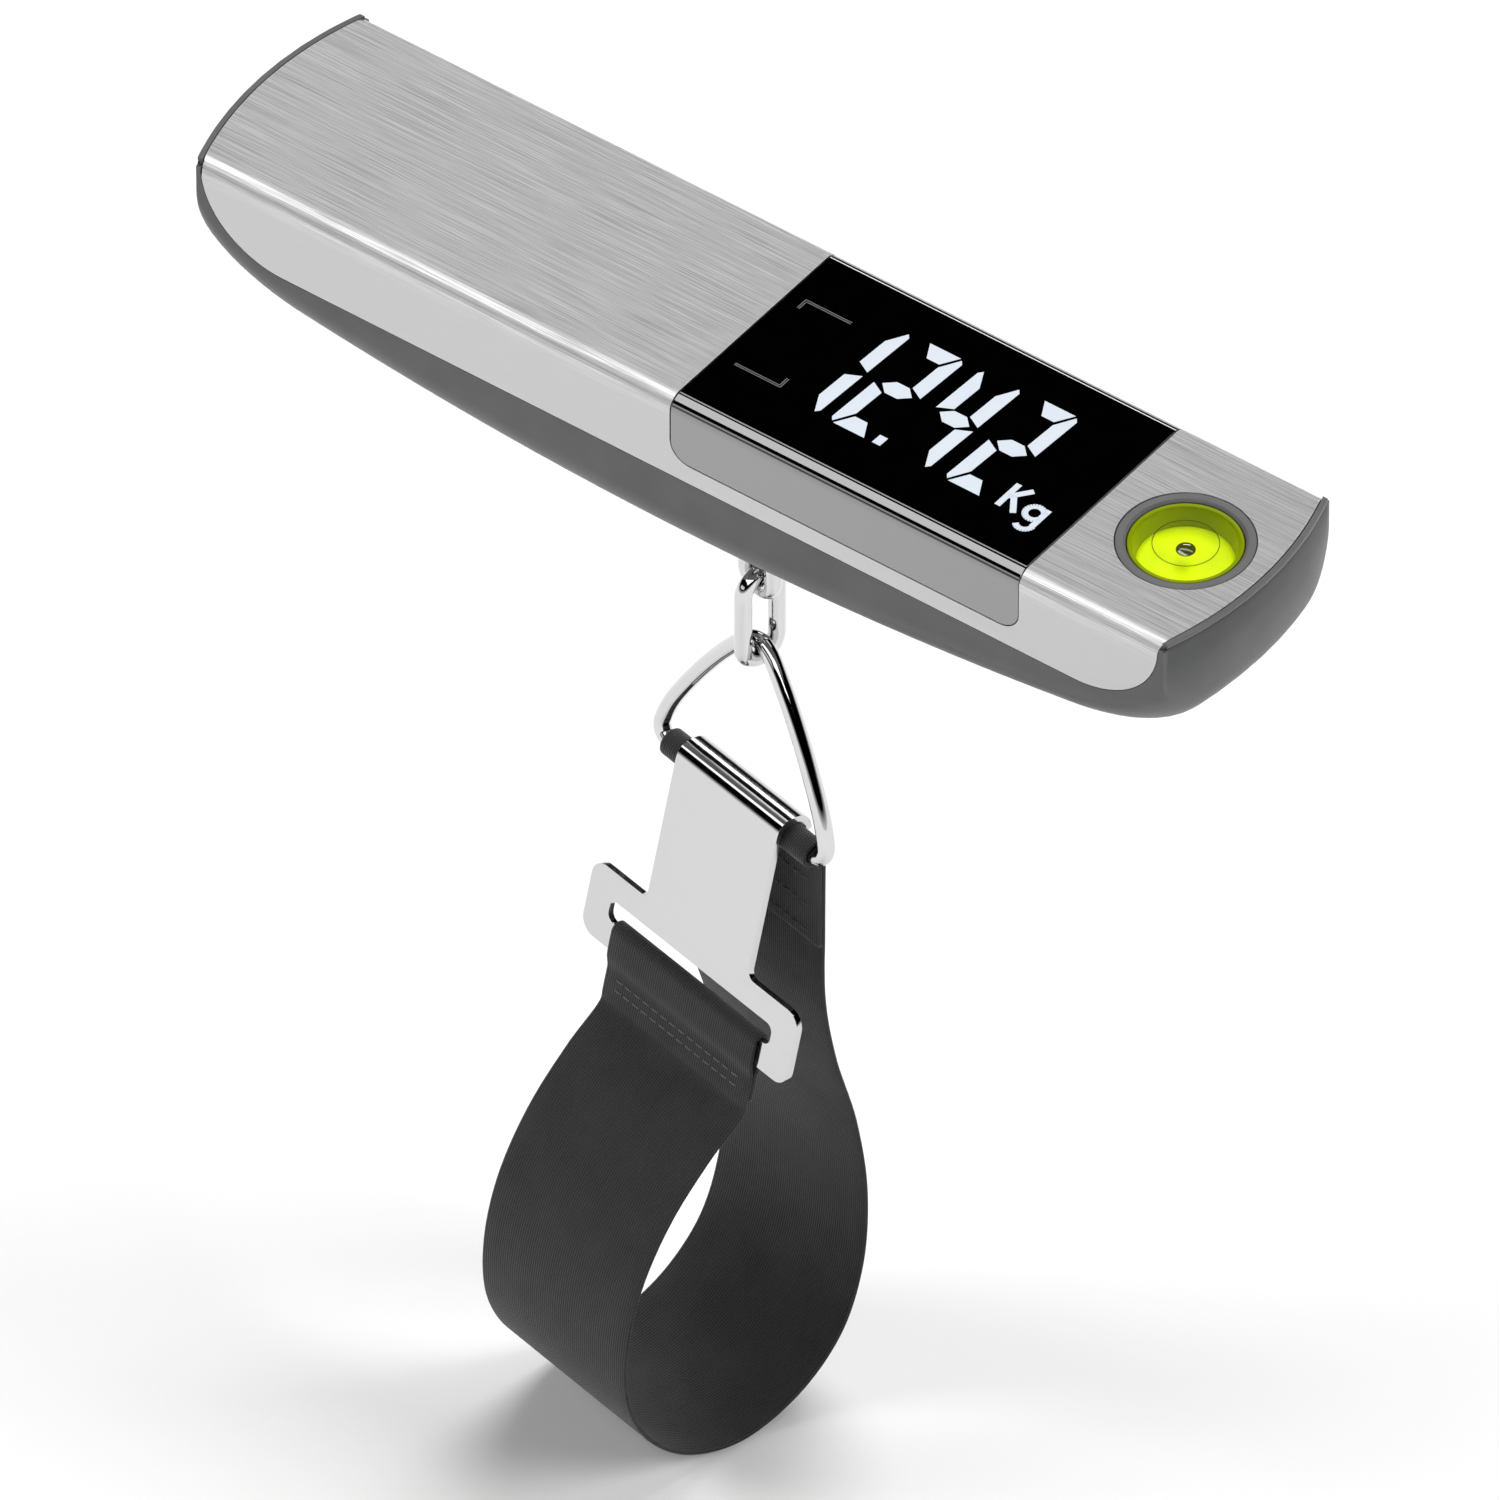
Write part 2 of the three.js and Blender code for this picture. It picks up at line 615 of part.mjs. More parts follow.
// Flat plate with a slotted foot, and its top rolled over the bar
function hookPlate() {
  const front = -ROLL_INNER - PLATE;
  const face = hookFace();
  face.holes.push(hookSlot());
  const plate = solid(prismY(face, front, -ROLL_INNER, 4));
  const curl = outline([
    ...arcPoints(ROLL_INNER + PLATE, ROLL_LIP, Math.PI, 14),
    [front, -1],
    [-ROLL_INNER, -1],
    ...arcPoints(ROLL_INNER, Math.PI, ROLL_LIP, 14),
  ]);
  return plate.add(solid(prismX(curl, -NECK_HALF_WIDTH, NECK_HALF_WIDTH)));
}

// A strip of webbing seen edge on, from its middle line
function ribbon(line) {
  const half = WEB / 2;
  const sides = [1, -1].map((sign) => line.map((point, i) => {
    const ahead = line[Math.min(i + 1, line.length - 1)];
    const behind = line[Math.max(i - 1, 0)];
    const along = [ahead[0] - behind[0], ahead[1] - behind[1]];
    const size = Math.hypot(...along);
    return [point[0] - sign * half * along[1] / size, point[1] + sign * half * along[0] / size];
  }));
  return outline([...sides[0], ...sides[1].reverse()]);
}

function webPiece(shape, curveSegments = 16) {
  return solid(prismX(shape, -WEB_HALF_WIDTH, WEB_HALF_WIDTH, curveSegments));
}

// A point of the hook plate's frame, as the hanging group's Y and Z
function onPlate(y, down) {
  const c = Math.cos(HOOK_TILT);
  const s = Math.sin(HOOK_TILT);
  return [BAR.y + y * c - down * s, BAR.z - y * s - down * c];
}

function strap() {
  const middle = WRAP_INNER + WEB / 2;
  const start = [BAR.y + middle, BAR.z];
  const join = onPlate(-ROLL_INNER - PLATE / 2, SEAM_END + 0.3);
  const beforeJoin = onPlate(-ROLL_INNER - PLATE / 2 - 0.2, SEAM_END + 1.6);
  const knots = [start, ...WEB_ROUTE, beforeJoin, join].map(([y, z]) => new THREE.Vector2(y, z));
  const line = new THREE.SplineCurve(knots).getSpacedPoints(60).map((p) => [p.x, p.y]);
  const turn = new THREE.Shape();
  turn.absarc(BAR.y, BAR.z, WRAP_INNER + WEB, 0, 2 * Math.PI);
  const bore = new THREE.Path();
  bore.absarc(BAR.y, BAR.z, WRAP_INNER, 0, 2 * Math.PI);
  turn.holes.push(bore);
  const inner = BAR.y + WRAP_INNER - WEB;
  const patch = outline([
    [inner, BAR.z - 1.62], [inner + WEB + 0.03, BAR.z - 1.4],
    [inner + WEB + 0.03, PATCH_END], [inner, PATCH_END],
  ]);
  return joined(webPiece(ribbon(line)), webPiece(turn, 8), webPiece(patch));
}

// The webbing's other end: a sleeve round the plate's lower bar, sewn to itself below it
function strapEnd() {
  const middle = -ROLL_INNER - PLATE / 2;
  const room = PLATE / 2 + FIT;
  const outer = room + WEB;
  const sleeve = outline([
    [middle - outer, -SLOT_BOTTOM - 0.6], [middle - outer * 0.6, -SLOT_BOTTOM + 0.45],
    [middle, -SLOT_BOTTOM + FIT + WEB], [middle + outer * 0.6, -SLOT_BOTTOM + 0.45],
    [middle + outer, -SLOT_BOTTOM - 0.6], [middle + outer, -FRAME_END],
    [middle + WEB, -FRAME_END - 1.8], [middle + WEB, -SEAM_END],
    [middle - WEB, -SEAM_END], [middle - WEB, -FRAME_END - 1.8], [middle - outer, -FRAME_END],
  ].reverse());
  const hollow = new THREE.Path([
    [middle - room, -SLOT_BOTTOM + FIT], [middle + room, -SLOT_BOTTOM + FIT],
    [middle + room, -FRAME_END - FIT], [middle, -FRAME_END - 0.9], [middle - room, -FRAME_END - FIT],
  ].map(([y, z]) => new THREE.Vector2(y, z)));
  sleeve.holes.push(hollow);
  return webPiece(sleeve);
}

// ---------- assembly ----------

const group = new THREE.Group();
const hanging = new THREE.Group();
hanging.rotation.z = HANG_TURN;
group.add(hanging);

function add(parent, name, look, shape) {
  const [color, roughness, metalness] = COLOURS[look];
  const geometry = shape.isBufferGeometry ? shape : geometryOf(shape);
  const mesh = new THREE.Mesh(geometry, new THREE.MeshStandardMaterial({ color, roughness, metalness }));
  mesh.name = name;
  parent.add(mesh);
  return mesh;
}

function addGrip() {
  add(group, "steel_cover", "brushedSteel", steelCover());
  add(group, "base_housing", "housing", baseHousing());
  add(group, "top_frame", "housing", topFrame());
  add(group, "display_window", "window", displayWindow());
  add(group, "battery_door", "housing", batteryDoor());
  HOUSING_SCREWS.forEach(([x, y], i) => add(group, `housing_screw_${i + 1}`, "zinc", housingScrew(x, y)));
}

function addElectronics() {
  add(group, "lcd_module", "glass", lcdModule());
  add(group, "backlight_panel", "lightPanel", block(8, 49, -10.5, 10.5, -5.4, -3.8));
  add(group, "zebra_strip", "rubber", block(10, 48, 10.9, 12.3, -5.5, -3.75));
  add(group, "main_board", "board", mainBoard());
  add(group, "touch_spring", "brass", touchSpring());
  add(group, "load_cell", "aluminium", loadCell());
  add(group, "strain_gauge_pad", "lightPanel", block(10, 18, -3, 3, BEAM.top + FIT, BEAM.top + 0.9));
  CELL_SCREW_X.forEach((x, i) => add(group, `load_cell_screw_${i + 1}`, "zinc", cellScrew(x)));
  const gaugeRoute = [[14, 3.6, -10.9], [16, 5.4, -9.6], [20, 6.5, -8.4], [24, 7, -7.7]];
  add(group, "load_cell_lead", "wire", lead(gaugeRoute, 0.5));
  add(group, "outlet_bush", "housing", outletBush());
}

function addLevel() {
  add(group, "level_ring", "levelRing", levelRing());
  add(group, "level_cup", "liquid", levelCup());
  add(group, "level_lens", "lens", levelLens());
  add(group, "level_bubble", "bubble", levelBubble());
}

function addBatteries() {
  const far = CELL_X - CELL_LENGTH / 2;
  const near = CELL_X + CELL_LENGTH / 2;
  add(group, "battery_1", "cell", cell(-CELL_Y, 1));
  add(group, "battery_2", "cell", cell(CELL_Y, -1));
  add(group, "battery_spring_1", "zinc", contactSpring(far - 2.3, -CELL_Y, 1));
  add(group, "battery_spring_2", "zinc", contactSpring(near + 2.3, CELL_Y, -1));
  add(group, "contact_bridge", "zinc", block(far - 3, far - 2.6, -9.6, 9.6, CELL_Z - 4.5, CELL_Z + 4.5));
  add(group, "contact_plus", "zinc", block(near + 2.6, near + 3, -10, -1.2, CELL_Z - 4.5, CELL_Z + 4.5));
  add(group, "contact_minus", "zinc", block(near + 2.6, near + 3, 1.2, 10, CELL_Z - 4.5, CELL_Z + 4.5));
  const run = (y, turn) => [
    [-18, y, -6.4], [-14, y, -6.2], [-11, y - turn, -6.2], [-8.4, y - 2 * turn, -6.3],
  ];
  add(group, "battery_lead_plus", "wire", lead(run(-5, 0.6), 0.5));
  add(group, "battery_lead_minus", "rubber", lead(run(1.5, -0.6), 0.5));
}

function addHanging() {
  add(hanging, "swivel_eye", "chrome", swivelEye());
  add(hanging, "eye_washer", "zinc", pipe(0, 0, 4.4, SHANK_RADIUS + FIT, -11.4, -10.8, 20));
  add(hanging, "eye_nut", "zinc", pipe(0, 0, 3.7, SHANK_RADIUS + FIT, -10.6, -8, 6, 20));
  add(hanging, "chain_link", "chrome", chainLink());
  const ring = add(hanging, "d_ring", "chrome", dRing());
  ring.position.z = RING_APEX;
  ring.rotation.x = -RING_TILT;
  const hook = new THREE.Group();
  hook.position.set(0, BAR.y, BAR.z);
  hook.rotation.x = -HOOK_TILT;
  hanging.add(hook);
  add(hook, "hook_plate", "chrome", hookPlate());
  add(hook, "strap_end", "web", strapEnd());
  add(hanging, "strap", "web", strap());
}

addGrip();
addElectronics();
addLevel();
addBatteries();
addHanging();

export default group;
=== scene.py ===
"""Looks of the digital luggage scale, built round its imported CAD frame. Sizes are in millimetres."""
from contextlib import contextmanager
from math import copysign, cos, pi, radians, sin, sqrt

import bmesh
import bpy
from mathutils import Matrix, Vector


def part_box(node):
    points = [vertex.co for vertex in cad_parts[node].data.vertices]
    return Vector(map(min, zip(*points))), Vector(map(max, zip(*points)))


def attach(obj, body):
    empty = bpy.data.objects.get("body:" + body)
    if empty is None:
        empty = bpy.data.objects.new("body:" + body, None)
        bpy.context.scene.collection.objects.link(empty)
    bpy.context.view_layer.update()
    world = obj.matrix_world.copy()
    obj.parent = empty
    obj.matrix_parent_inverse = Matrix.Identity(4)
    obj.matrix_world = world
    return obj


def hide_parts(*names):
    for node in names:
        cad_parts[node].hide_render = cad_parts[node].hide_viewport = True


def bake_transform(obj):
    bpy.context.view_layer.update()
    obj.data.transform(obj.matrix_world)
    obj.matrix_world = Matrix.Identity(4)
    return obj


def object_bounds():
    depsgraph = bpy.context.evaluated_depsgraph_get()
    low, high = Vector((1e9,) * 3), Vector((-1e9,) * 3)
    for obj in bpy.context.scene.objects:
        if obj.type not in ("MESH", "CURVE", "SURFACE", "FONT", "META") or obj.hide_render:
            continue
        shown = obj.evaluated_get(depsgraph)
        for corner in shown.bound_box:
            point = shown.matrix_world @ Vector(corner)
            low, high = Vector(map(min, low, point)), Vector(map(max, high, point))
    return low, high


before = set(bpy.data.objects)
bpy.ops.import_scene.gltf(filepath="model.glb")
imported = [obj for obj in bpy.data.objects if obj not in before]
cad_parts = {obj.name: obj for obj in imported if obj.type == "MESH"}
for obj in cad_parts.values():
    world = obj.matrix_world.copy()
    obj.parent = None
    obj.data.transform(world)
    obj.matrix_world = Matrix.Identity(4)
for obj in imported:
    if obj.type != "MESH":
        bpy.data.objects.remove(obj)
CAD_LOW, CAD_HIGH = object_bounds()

MM = 0.001
QUARTER = pi / 2


def cad_box(node):
    """A CAD node's lowest and highest corners, in millimetres."""
    low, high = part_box(node)
    return low / MM, high / MM


# ---- sizes ----

HOUSING_LOW, HOUSING_HIGH = cad_box("base_housing")
COVER_LOW, COVER_HIGH = cad_box("steel_cover")
WINDOW_LOW, WINDOW_HIGH = cad_box("display_window")
DOOR_LOW, DOOR_HIGH = cad_box("battery_door")
RING_LOW, RING_HIGH = cad_box("level_ring")
CUP_LOW, CUP_HIGH = cad_box("level_cup")

# Grip
HALF_LENGTH = HOUSING_HIGH.x
COVER_HALF_LENGTH = COVER_HIGH.x - 0.3
HALF_WIDTH = HOUSING_HIGH.y
END_RADIUS = 53
BEND_RADIUS = 2.2
STEEL = 0.6
FLANGE_Z = COVER_LOW.z
CORNER_X = 63
CORNER_RUN = 13.1
CORNER_RISE = 11.9
KEEL_DEPTH = -HOUSING_LOW.z
KEEL_RADIUS = 430
LOWER_EDGE_RADIUS = 7
END_RUN = 16
END_RISE = 7
FLOOR = 2.2
CAVITY_HALF_WIDTH = 15
RECESS_Z = -2.4
GAP = 0.12
LIP_GROOVE = (-0.80, -0.60)
LIP_GROOVE_DEPTH = 0.25
# Height of the dark strip painted as shade in the lip groove.
LIP_SEAM = (-0.79, -0.61)
BEYOND = 30

# Underside
OUTLET_RADIUS = 5.35
BUSH_BORE = 3.3
BUSH_NECK = 5.2
BUSH_FLANGE = 6.6
SCREW_RECESS_RADIUS = 2.9
SCREW_HEAD_RADIUS = 2.6
SCREW_HEAD = 1.6
SCREW_SHAFT = 1.1
DRIVE_HALF_LENGTH = 1.45
DRIVE_HALF_WIDTH = 0.27
FINGER_GROOVES = 5
FINGER_GROOVE_PITCH = 1.8
FINGER_GROOVE_RADIUS = 0.65

# Display
WINDOW_FROM = WINDOW_LOW.x
WINDOW_TO = WINDOW_HIGH.x
WINDOW_EDGE_Z = WINDOW_LOW.z
WINDOW_CORNER = 3
WINDOW_THICK = 1.2
DIGIT = {"width": 6.6, "height": 19.4, "low": -8.9, "upright": 2.05, "level": 2.55, "gap": 0.26}
DIGIT_SLANT = 0.05
DIGIT_SEGMENTS = {"1": "bc", "2": "abged", "4": "fgbc"}
READING = [("1", 9.0), ("2", 17.4), ("4", 26.5), ("2", 35.6)]
POINT_X = 24.4
UNIT_X = 44.2

# Level
LEVEL_X = (RING_LOW.x + RING_HIGH.x) / 2
LEVEL_RADIUS = (RING_HIGH.x - RING_LOW.x) / 2
LEVEL_VIEW_RADIUS = 7.65
LEVEL_FLOOR = -3.35
LEVEL_FLOOR_RADIUS = 6.35
TARGET_RADIUS = 4.3
BUBBLE_RADIUS = 1.3
BUBBLE_HALF_HEIGHT = 0.4
LEVEL_STEPS = 128

# Hanging parts: on the Z axis, turned about it
HANG_TURN = radians(-12.5)
WIRE = 1.2
WIRE_SIDES = 24
LOOP_STEPS = 96
SHANK_RADIUS = 2
SHANK_TOP = -7.8
COLLAR_RADIUS = 3
EYE_HALF_WIDTH = 2.6
EYE_TOP = -34
EYE_BOTTOM = -45.05
LINK_HALF_WIDTH = 2.85
LINK_TOP = -45.35
LINK_BOTTOM = -54.15
RING_APEX = -54.45
RING_TILT = radians(6.5)
RING_HEIGHT = 25.9
RING_HALF_WIDTH = 16.15
RING_CORNER = 1.9
HOOK_TILT = radians(13)
PLATE = 0.9
ROLL_INNER = 2.2
PLATE_MIDDLE = -ROLL_INNER - PLATE / 2
ROLL_LIP = radians(10)
ROLL_TOP = 3.35
NECK_HALF_WIDTH = 10
NECK_FILLET = 1.2
SHOULDER = 21.2
SLOT_TOP = 25.2
SLOT_BOTTOM = 28.4
SLOT_HALF_WIDTH = 16
SLOT_CORNER = 1.2
FRAME_END = 32.4
FRAME_HALF_WIDTH = 20.3
EAR_RADIUS = 2.4
BAR_Y = -RING_HEIGHT * sin(RING_TILT)
BAR_Z = RING_APEX - RING_HEIGHT * cos(RING_TILT)

# Webbing
WEB_HALF_WIDTH = 14.3
WEB = 0.6
WRAP = 1.7
STITCH_SHAPE = [(-1, -0.08, 0.04), (-0.7, 0.03, 0.08), (0, 0.06, 0.09), (0.7, 0.03, 0.08), (1, -0.08, 0.04)]
PATCH_Y = BAR_Y + 1
PATCH_END = -97.1
SEAM_END = 38.5
SLEEVE_GAP = 0.36
SLEEVE_TURN = 0.96
SLEEVE_DOWN = 28.9
SLEEVE_ROWS = (35.6, 37.1)
PATCH_ROWS = (-86.5, -91, -95.5)
STITCH_PITCH = 1.75
STITCH_LENGTH = 1.4
STITCH_SIDES = 6
RIB_PITCH = 0.40
WEFT_PITCH = 0.42
WEB_ROUTE = [
    (-1.3, -94), (-1.2, -107), (0.6, -118.4), (4.2, -132.1), (6.1, -146.3), (5.2, -159),
    (1.5, -168.5), (-5.5, -174.6), (-15, -176.9), (-24, -173.9), (-30.6, -167.6), (-34.4, -159.5),
    (-35, -150), (-32.6, -139.5), (-27.4, -130.3), (-20.6, -123.2),
]

# Studio, in degrees and metres
CAMERA_AZIMUTH = 36.79
CAMERA_ELEVATION = 42.84
CAMERA_DISTANCE = 5.0
CAMERA_ACROSS = 0.001284
CAMERA_UP = -0.05396
CAMERA_LENS = 940.8
FLOOR_HALF = 9
HORIZON_LIGHT = 0.65
MATT_FILL = 0.06


# ---- outlines ----

def ellipse_arc(x, y, run, rise, start, end, steps):
    """Points round part of an ellipse, both ends included."""
    angles = [start + (end - start) * i / steps for i in range(steps + 1)]
    return [(x + run * cos(a), y + rise * sin(a)) for a in angles]


def arc(x, y, radius, start, end, steps):
    return ellipse_arc(x, y, radius, radius, start, end, steps)


def end_x(y, half_length):
    """X of the curved end at this Y."""
    return half_length - (END_RADIUS - sqrt(END_RADIUS ** 2 - y ** 2))


def plan_outline(half_length, half_width):
    """The grip from above, between its two curved ends."""
    rows = 40
    right = []
    for i in range(rows + 1):
        y = half_width * (2 * i / rows - 1)
        right.append((end_x(y, half_length), y))
    return right + [(-x, -y) for x, y in right]


def flange_outline(grow):
    """The steel's side, with its swept corners, grown by a margin."""
    low = FLANGE_Z - grow
    high = low + CORNER_RISE + grow
    run = CORNER_RUN + grow
    past = HALF_LENGTH + 1
    left = ellipse_arc(-CORNER_X, high, run, high - low, pi, 1.5 * pi, 24)
    right = ellipse_arc(CORNER_X, high, run, high - low, -QUARTER, 0, 24)
    return [(-past, 1), (-past, high)] + left + right + [(past, high), (past, 1)]


def window_outline(grow):
    low = WINDOW_EDGE_Z - grow
    radius = WINDOW_CORNER + grow
    start = WINDOW_FROM - grow
    end = WINDOW_TO + grow
    left = arc(start + radius, low + radius, radius, pi, 1.5 * pi, 12)
    right = arc(end - radius, low + radius, radius, -QUARTER, 0, 12)
    return [(start, 1)] + left + right + [(end, 1)]


def folded_outline(thick, low):
    """Section of the folded sheet: a flat top, two rounded edges and two flanges."""
    middle = HALF_WIDTH - BEND_RADIUS
    inner = BEND_RADIUS - thick
    return (
        [(HALF_WIDTH, low)]
        + arc(middle, -BEND_RADIUS, BEND_RADIUS, 0, QUARTER, 20)
        + arc(-middle, -BEND_RADIUS, BEND_RADIUS, QUARTER, pi, 20)
        + [(-HALF_WIDTH, low), (-HALF_WIDTH + thick, low)]
        + arc(-middle, -BEND_RADIUS, inner, pi, QUARTER, 10)
        + arc(middle, -BEND_RADIUS, inner, QUARTER, 0, 10)
        + [(HALF_WIDTH - thick, low)]
    )


def keel(x):
    """Depth of the underside's middle line."""
    return KEEL_DEPTH - x * x / (2 * KEEL_RADIUS)


def round_up(distance, run, rise):
    """Height gained this far into a rounded edge."""
    t = min(max(distance / run, 0), 1)
    return rise * (1 - sqrt(1 - t * t))


# ---- meshes ----

@contextmanager
def editing(mesh):
    """Opens a mesh for editing and writes it back."""
    work = bmesh.new()
    work.from_mesh(mesh)
    yield work
    work.to_mesh(mesh)
    work.free()


def new_object(name, data):
    made = bpy.data.objects.new(name, data)
    bpy.context.scene.collection.objects.link(made)
    return made


def mesh_piece(name, points, faces):
    """A new piece from points in millimetres, its faces turned outwards."""
    mesh = bpy.data.meshes.new(name)
    mesh.from_pydata([Vector(p) * MM for p in points], [], faces)
    with editing(mesh) as work:
        bmesh.ops.recalc_face_normals(work, faces=work.faces)
    return new_object(name, mesh)


def prism(name, outline, axis, low, high):
    """An outline run along an axis. It is drawn in the other two axes, in X, Y, Z order."""
    count = len(outline)
    points = []
    for t in (low, high):
        for place in outline:
            point = list(place)
            point.insert("xyz".index(axis), t)
            points.append(point)
    faces = [tuple(range(count)), tuple(range(2 * count - 1, count - 1, -1))]
    faces += [(i, (i + 1) % count, count + (i + 1) % count, count + i) for i in range(count)]
    return mesh_piece(name, points, faces)


def block(name, low, high):
    outline = [(low[0], low[1]), (high[0], low[1]), (high[0], high[1]), (low[0], high[1])]
    return prism(name, outline, "z", low[2], high[2])


def drum(name, x, y, radius, low, high, sides):
    return prism(name, arc(x, y, radius, 0, 2 * pi, sides)[:-1], "z", low, high)


def lathe(name, profile, x=0.0, y=0.0, steps=72):
    """A closed profile of (radius, height) turned about a vertical axis."""
    points = []
    rings = []
    for r, h in profile:
        if r < 1e-6:
            rings.append([len(points)] * steps)
            points.append((x, y, h))
            continue
        rings.append(list(range(len(points), len(points) + steps)))
        for i in range(steps):
            a = 2 * pi * i / steps
            points.append((x + r * cos(a), y + r * sin(a), h))
    faces = []
    for here, there in zip(rings, rings[1:] + rings[:1]):
        for i in range(steps):
            j = (i + 1) % steps
            corners = dict.fromkeys((here[i], here[j], there[j], there[i]))
            if len(corners) > 2:
                faces.append(tuple(corners))
    return mesh_piece(name, points, faces)


def ring_faces(rows, wide, closed):
    """Faces between rows of points, each row a ring. Rows not closed on themselves get two caps."""
    faces = []
    for i in range(rows if closed else rows - 1):
        a = i * wide
        b = (i + 1) % rows * wide
        for k in range(wide):
            j = (k + 1) % wide
            faces.append((a + k, a + j, b + j, b + k))
    if not closed:
        faces += [tuple(range(wide)), tuple(range((rows - 1) * wide, rows * wide))]
    return faces


def wire_loop(name, track, normal):
    """A round wire along a flat closed track. normal is the direction square to the track's plane."""
    count = len(track)
    points = []
    for i, place in enumerate(track):
        out = (track[(i + 1) % count] - track[i - 1]).cross(normal).normalized()
        for k in range(WIRE_SIDES):
            a = 2 * pi * k / WIRE_SIDES
            points.append(place + WIRE * (cos(a) * out + sin(a) * normal))
    return mesh_piece(name, points, ring_faces(count, WIRE_SIDES, True))


def apply_modifiers(piece):
    graph = bpy.context.evaluated_depsgraph_get()
    final = bpy.data.meshes.new_from_object(piece.evaluated_get(graph))
    old = piece.data
    piece.modifiers.clear()
    piece.data = final
    bpy.data.meshes.remove(old)


def combine(piece, tool, operation):
    """Joins, cuts or intersects a piece with a tool, which is used up."""
    modifier = piece.modifiers.new(operation, "BOOLEAN")
    modifier.operation = operation
    modifier.solver = "EXACT"
    modifier.object = tool
    apply_modifiers(piece)
    bpy.data.objects.remove(tool)


def cut(piece, *tools):
    for tool in tools:
        combine(piece, tool, "DIFFERENCE")
    return piece


def merge(piece, *others):
    """Puts separate shells in one piece, without joining their surfaces."""
    with editing(piece.data) as work:
        for other in others:
            work.from_mesh(other.data)
            bpy.data.objects.remove(other)
    return piece


def smooth(piece):
    for polygon in piece.data.polygons:
        polygon.use_smooth = True
    return piece


def soften(piece, width=0, segments=2, angle=35):
    """Rounds the edges sharper than the angle and shades the piece smoothly."""
    with editing(piece.data) as work:
        bmesh.ops.remove_doubles(work, verts=work.verts, dist=0.002 * MM)
        bmesh.ops.dissolve_degenerate(work, edges=work.edges, dist=0.002 * MM)
    if width:
        bevel = piece.modifiers.new("edges", "BEVEL")
        bevel.width = width * MM
        bevel.segments = segments
        bevel.limit_method = "ANGLE"
        bevel.angle_limit = radians(angle)
        apply_modifiers(piece)
    smooth(piece)
    normals = piece.modifiers.new("normals", "WEIGHTED_NORMAL")
    normals.keep_sharp = True
    normals.weight = 80
    return piece


def coat(piece, look):
    piece.data.materials.clear()
    piece.data.materials.append(LOOKS[look])


def dress(piece, look, body, slot, *nodes):
    """Gives a piece its look and its body, and hides the CAD nodes that it stands for."""
    coat(piece, look)
    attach(piece, body)
    if nodes:
        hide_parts(*nodes)


def spline(points, steps, closed=False):
    """A smooth line through the points, even in length."""
    count = len(points)
    dense = []
    spans = count if closed else count - 1
    for i in range(spans):
        if closed:
            a, b, c, d = (points[(i + k) % count] for k in (-1, 0, 1, 2))
        else:
            b, c = points[i], points[i + 1]
            a = points[i - 1] if i else 2 * b - c
            d = points[i + 2] if i + 2 < count else 2 * c - b
        for k in range(16):
            dense.append(catmull(a, b, c, d, k / 16))
    dense.append(dense[0] if closed else points[-1])
    return even(dense, steps, closed)


def catmull(a, b, c, d, t):
    """Centripetal Catmull-Rom between b and c."""
    t0 = 0.0
    t1 = t0 + sqrt((b - a).length)
    t2 = t1 + sqrt((c - b).length)
    t3 = t2 + sqrt((d - c).length)
    u = t1 + (t2 - t1) * t
    p = (t1 - u) / (t1 - t0) * a + (u - t0) / (t1 - t0) * b
    q = (t2 - u) / (t2 - t1) * b + (u - t1) / (t2 - t1) * c
    r = (t3 - u) / (t3 - t2) * c + (u - t2) / (t3 - t2) * d
    v = (t2 - u) / (t2 - t0) * p + (u - t0) / (t2 - t0) * q
    w = (t3 - u) / (t3 - t1) * q + (u - t1) / (t3 - t1) * r
    return (t2 - u) / (t2 - t1) * v + (u - t1) / (t2 - t1) * w


def even(line, steps, closed=False):
    """The same line with points at equal distances."""
    far = [0.0]
    for a, b in zip(line, line[1:]):
        far.append(far[-1] + (b - a).length)
    result = []
    j = 0
    for i in range(steps if closed else steps + 1):
        goal = far[-1] * i / steps
        while j < len(far) - 2 and far[j + 1] < goal:
            j += 1
        span = far[j + 1] - far[j]
        t = (goal - far[j]) / span if span else 0.0
        result.append(line[j].lerp(line[j + 1], t))
    return result


# ---- places in the hanging group ----

HANG = Matrix.Rotation(HANG_TURN, 3, "Z")


def hanging(across, y, z):
    """A point of the hanging group, in the grip's frame."""
    return HANG @ Vector((across, y, z))


def on_plate(y, down):
    """Y and Z in the hanging group of a point of the hook plate's own frame."""
    c, s = cos(HOOK_TILT), sin(HOOK_TILT)
    return BAR_Y + y * c - down * s, BAR_Z - y * s - down * c


def tilt_plate(piece):
    """Moves a piece drawn in the hook plate's own frame, the bar at the origin, to its place."""
    bar_place = Matrix.Translation(Vector((0, BAR_Y, BAR_Z)) * MM)
    piece.data.transform(bar_place @ Matrix.Rotation(-HOOK_TILT, 4, "X"))
    piece.data.transform(HANG.to_4x4())


# ---- material building ----

def new_material(name, **sockets):
    material = bpy.data.materials.new(name)
    material.use_nodes = True
    tree = material.node_tree
    shader = tree.nodes["Principled BSDF"]
    for key, value in sockets.items():
        shader.inputs[key.replace("_", " ")].default_value = value
    return material, tree, shader


def add(tree, kind, inputs=None, **settings):
    made = tree.nodes.new("ShaderNode" + kind)
    for key, value in settings.items():
        setattr(made, key, value)
    for key, value in (inputs or {}).items():
        if isinstance(value, bpy.types.NodeSocket):
            tree.links.new(value, made.inputs[key])
        else:
            made.inputs[key].default_value = value
    return made


def place_of(tree):
    return add(tree, "TexCoord").outputs["Object"]


def stretched(tree, vector, scale):
    return add(tree, "VectorMath", {0: vector, 1: scale}, operation="MULTIPLY").outputs[0]


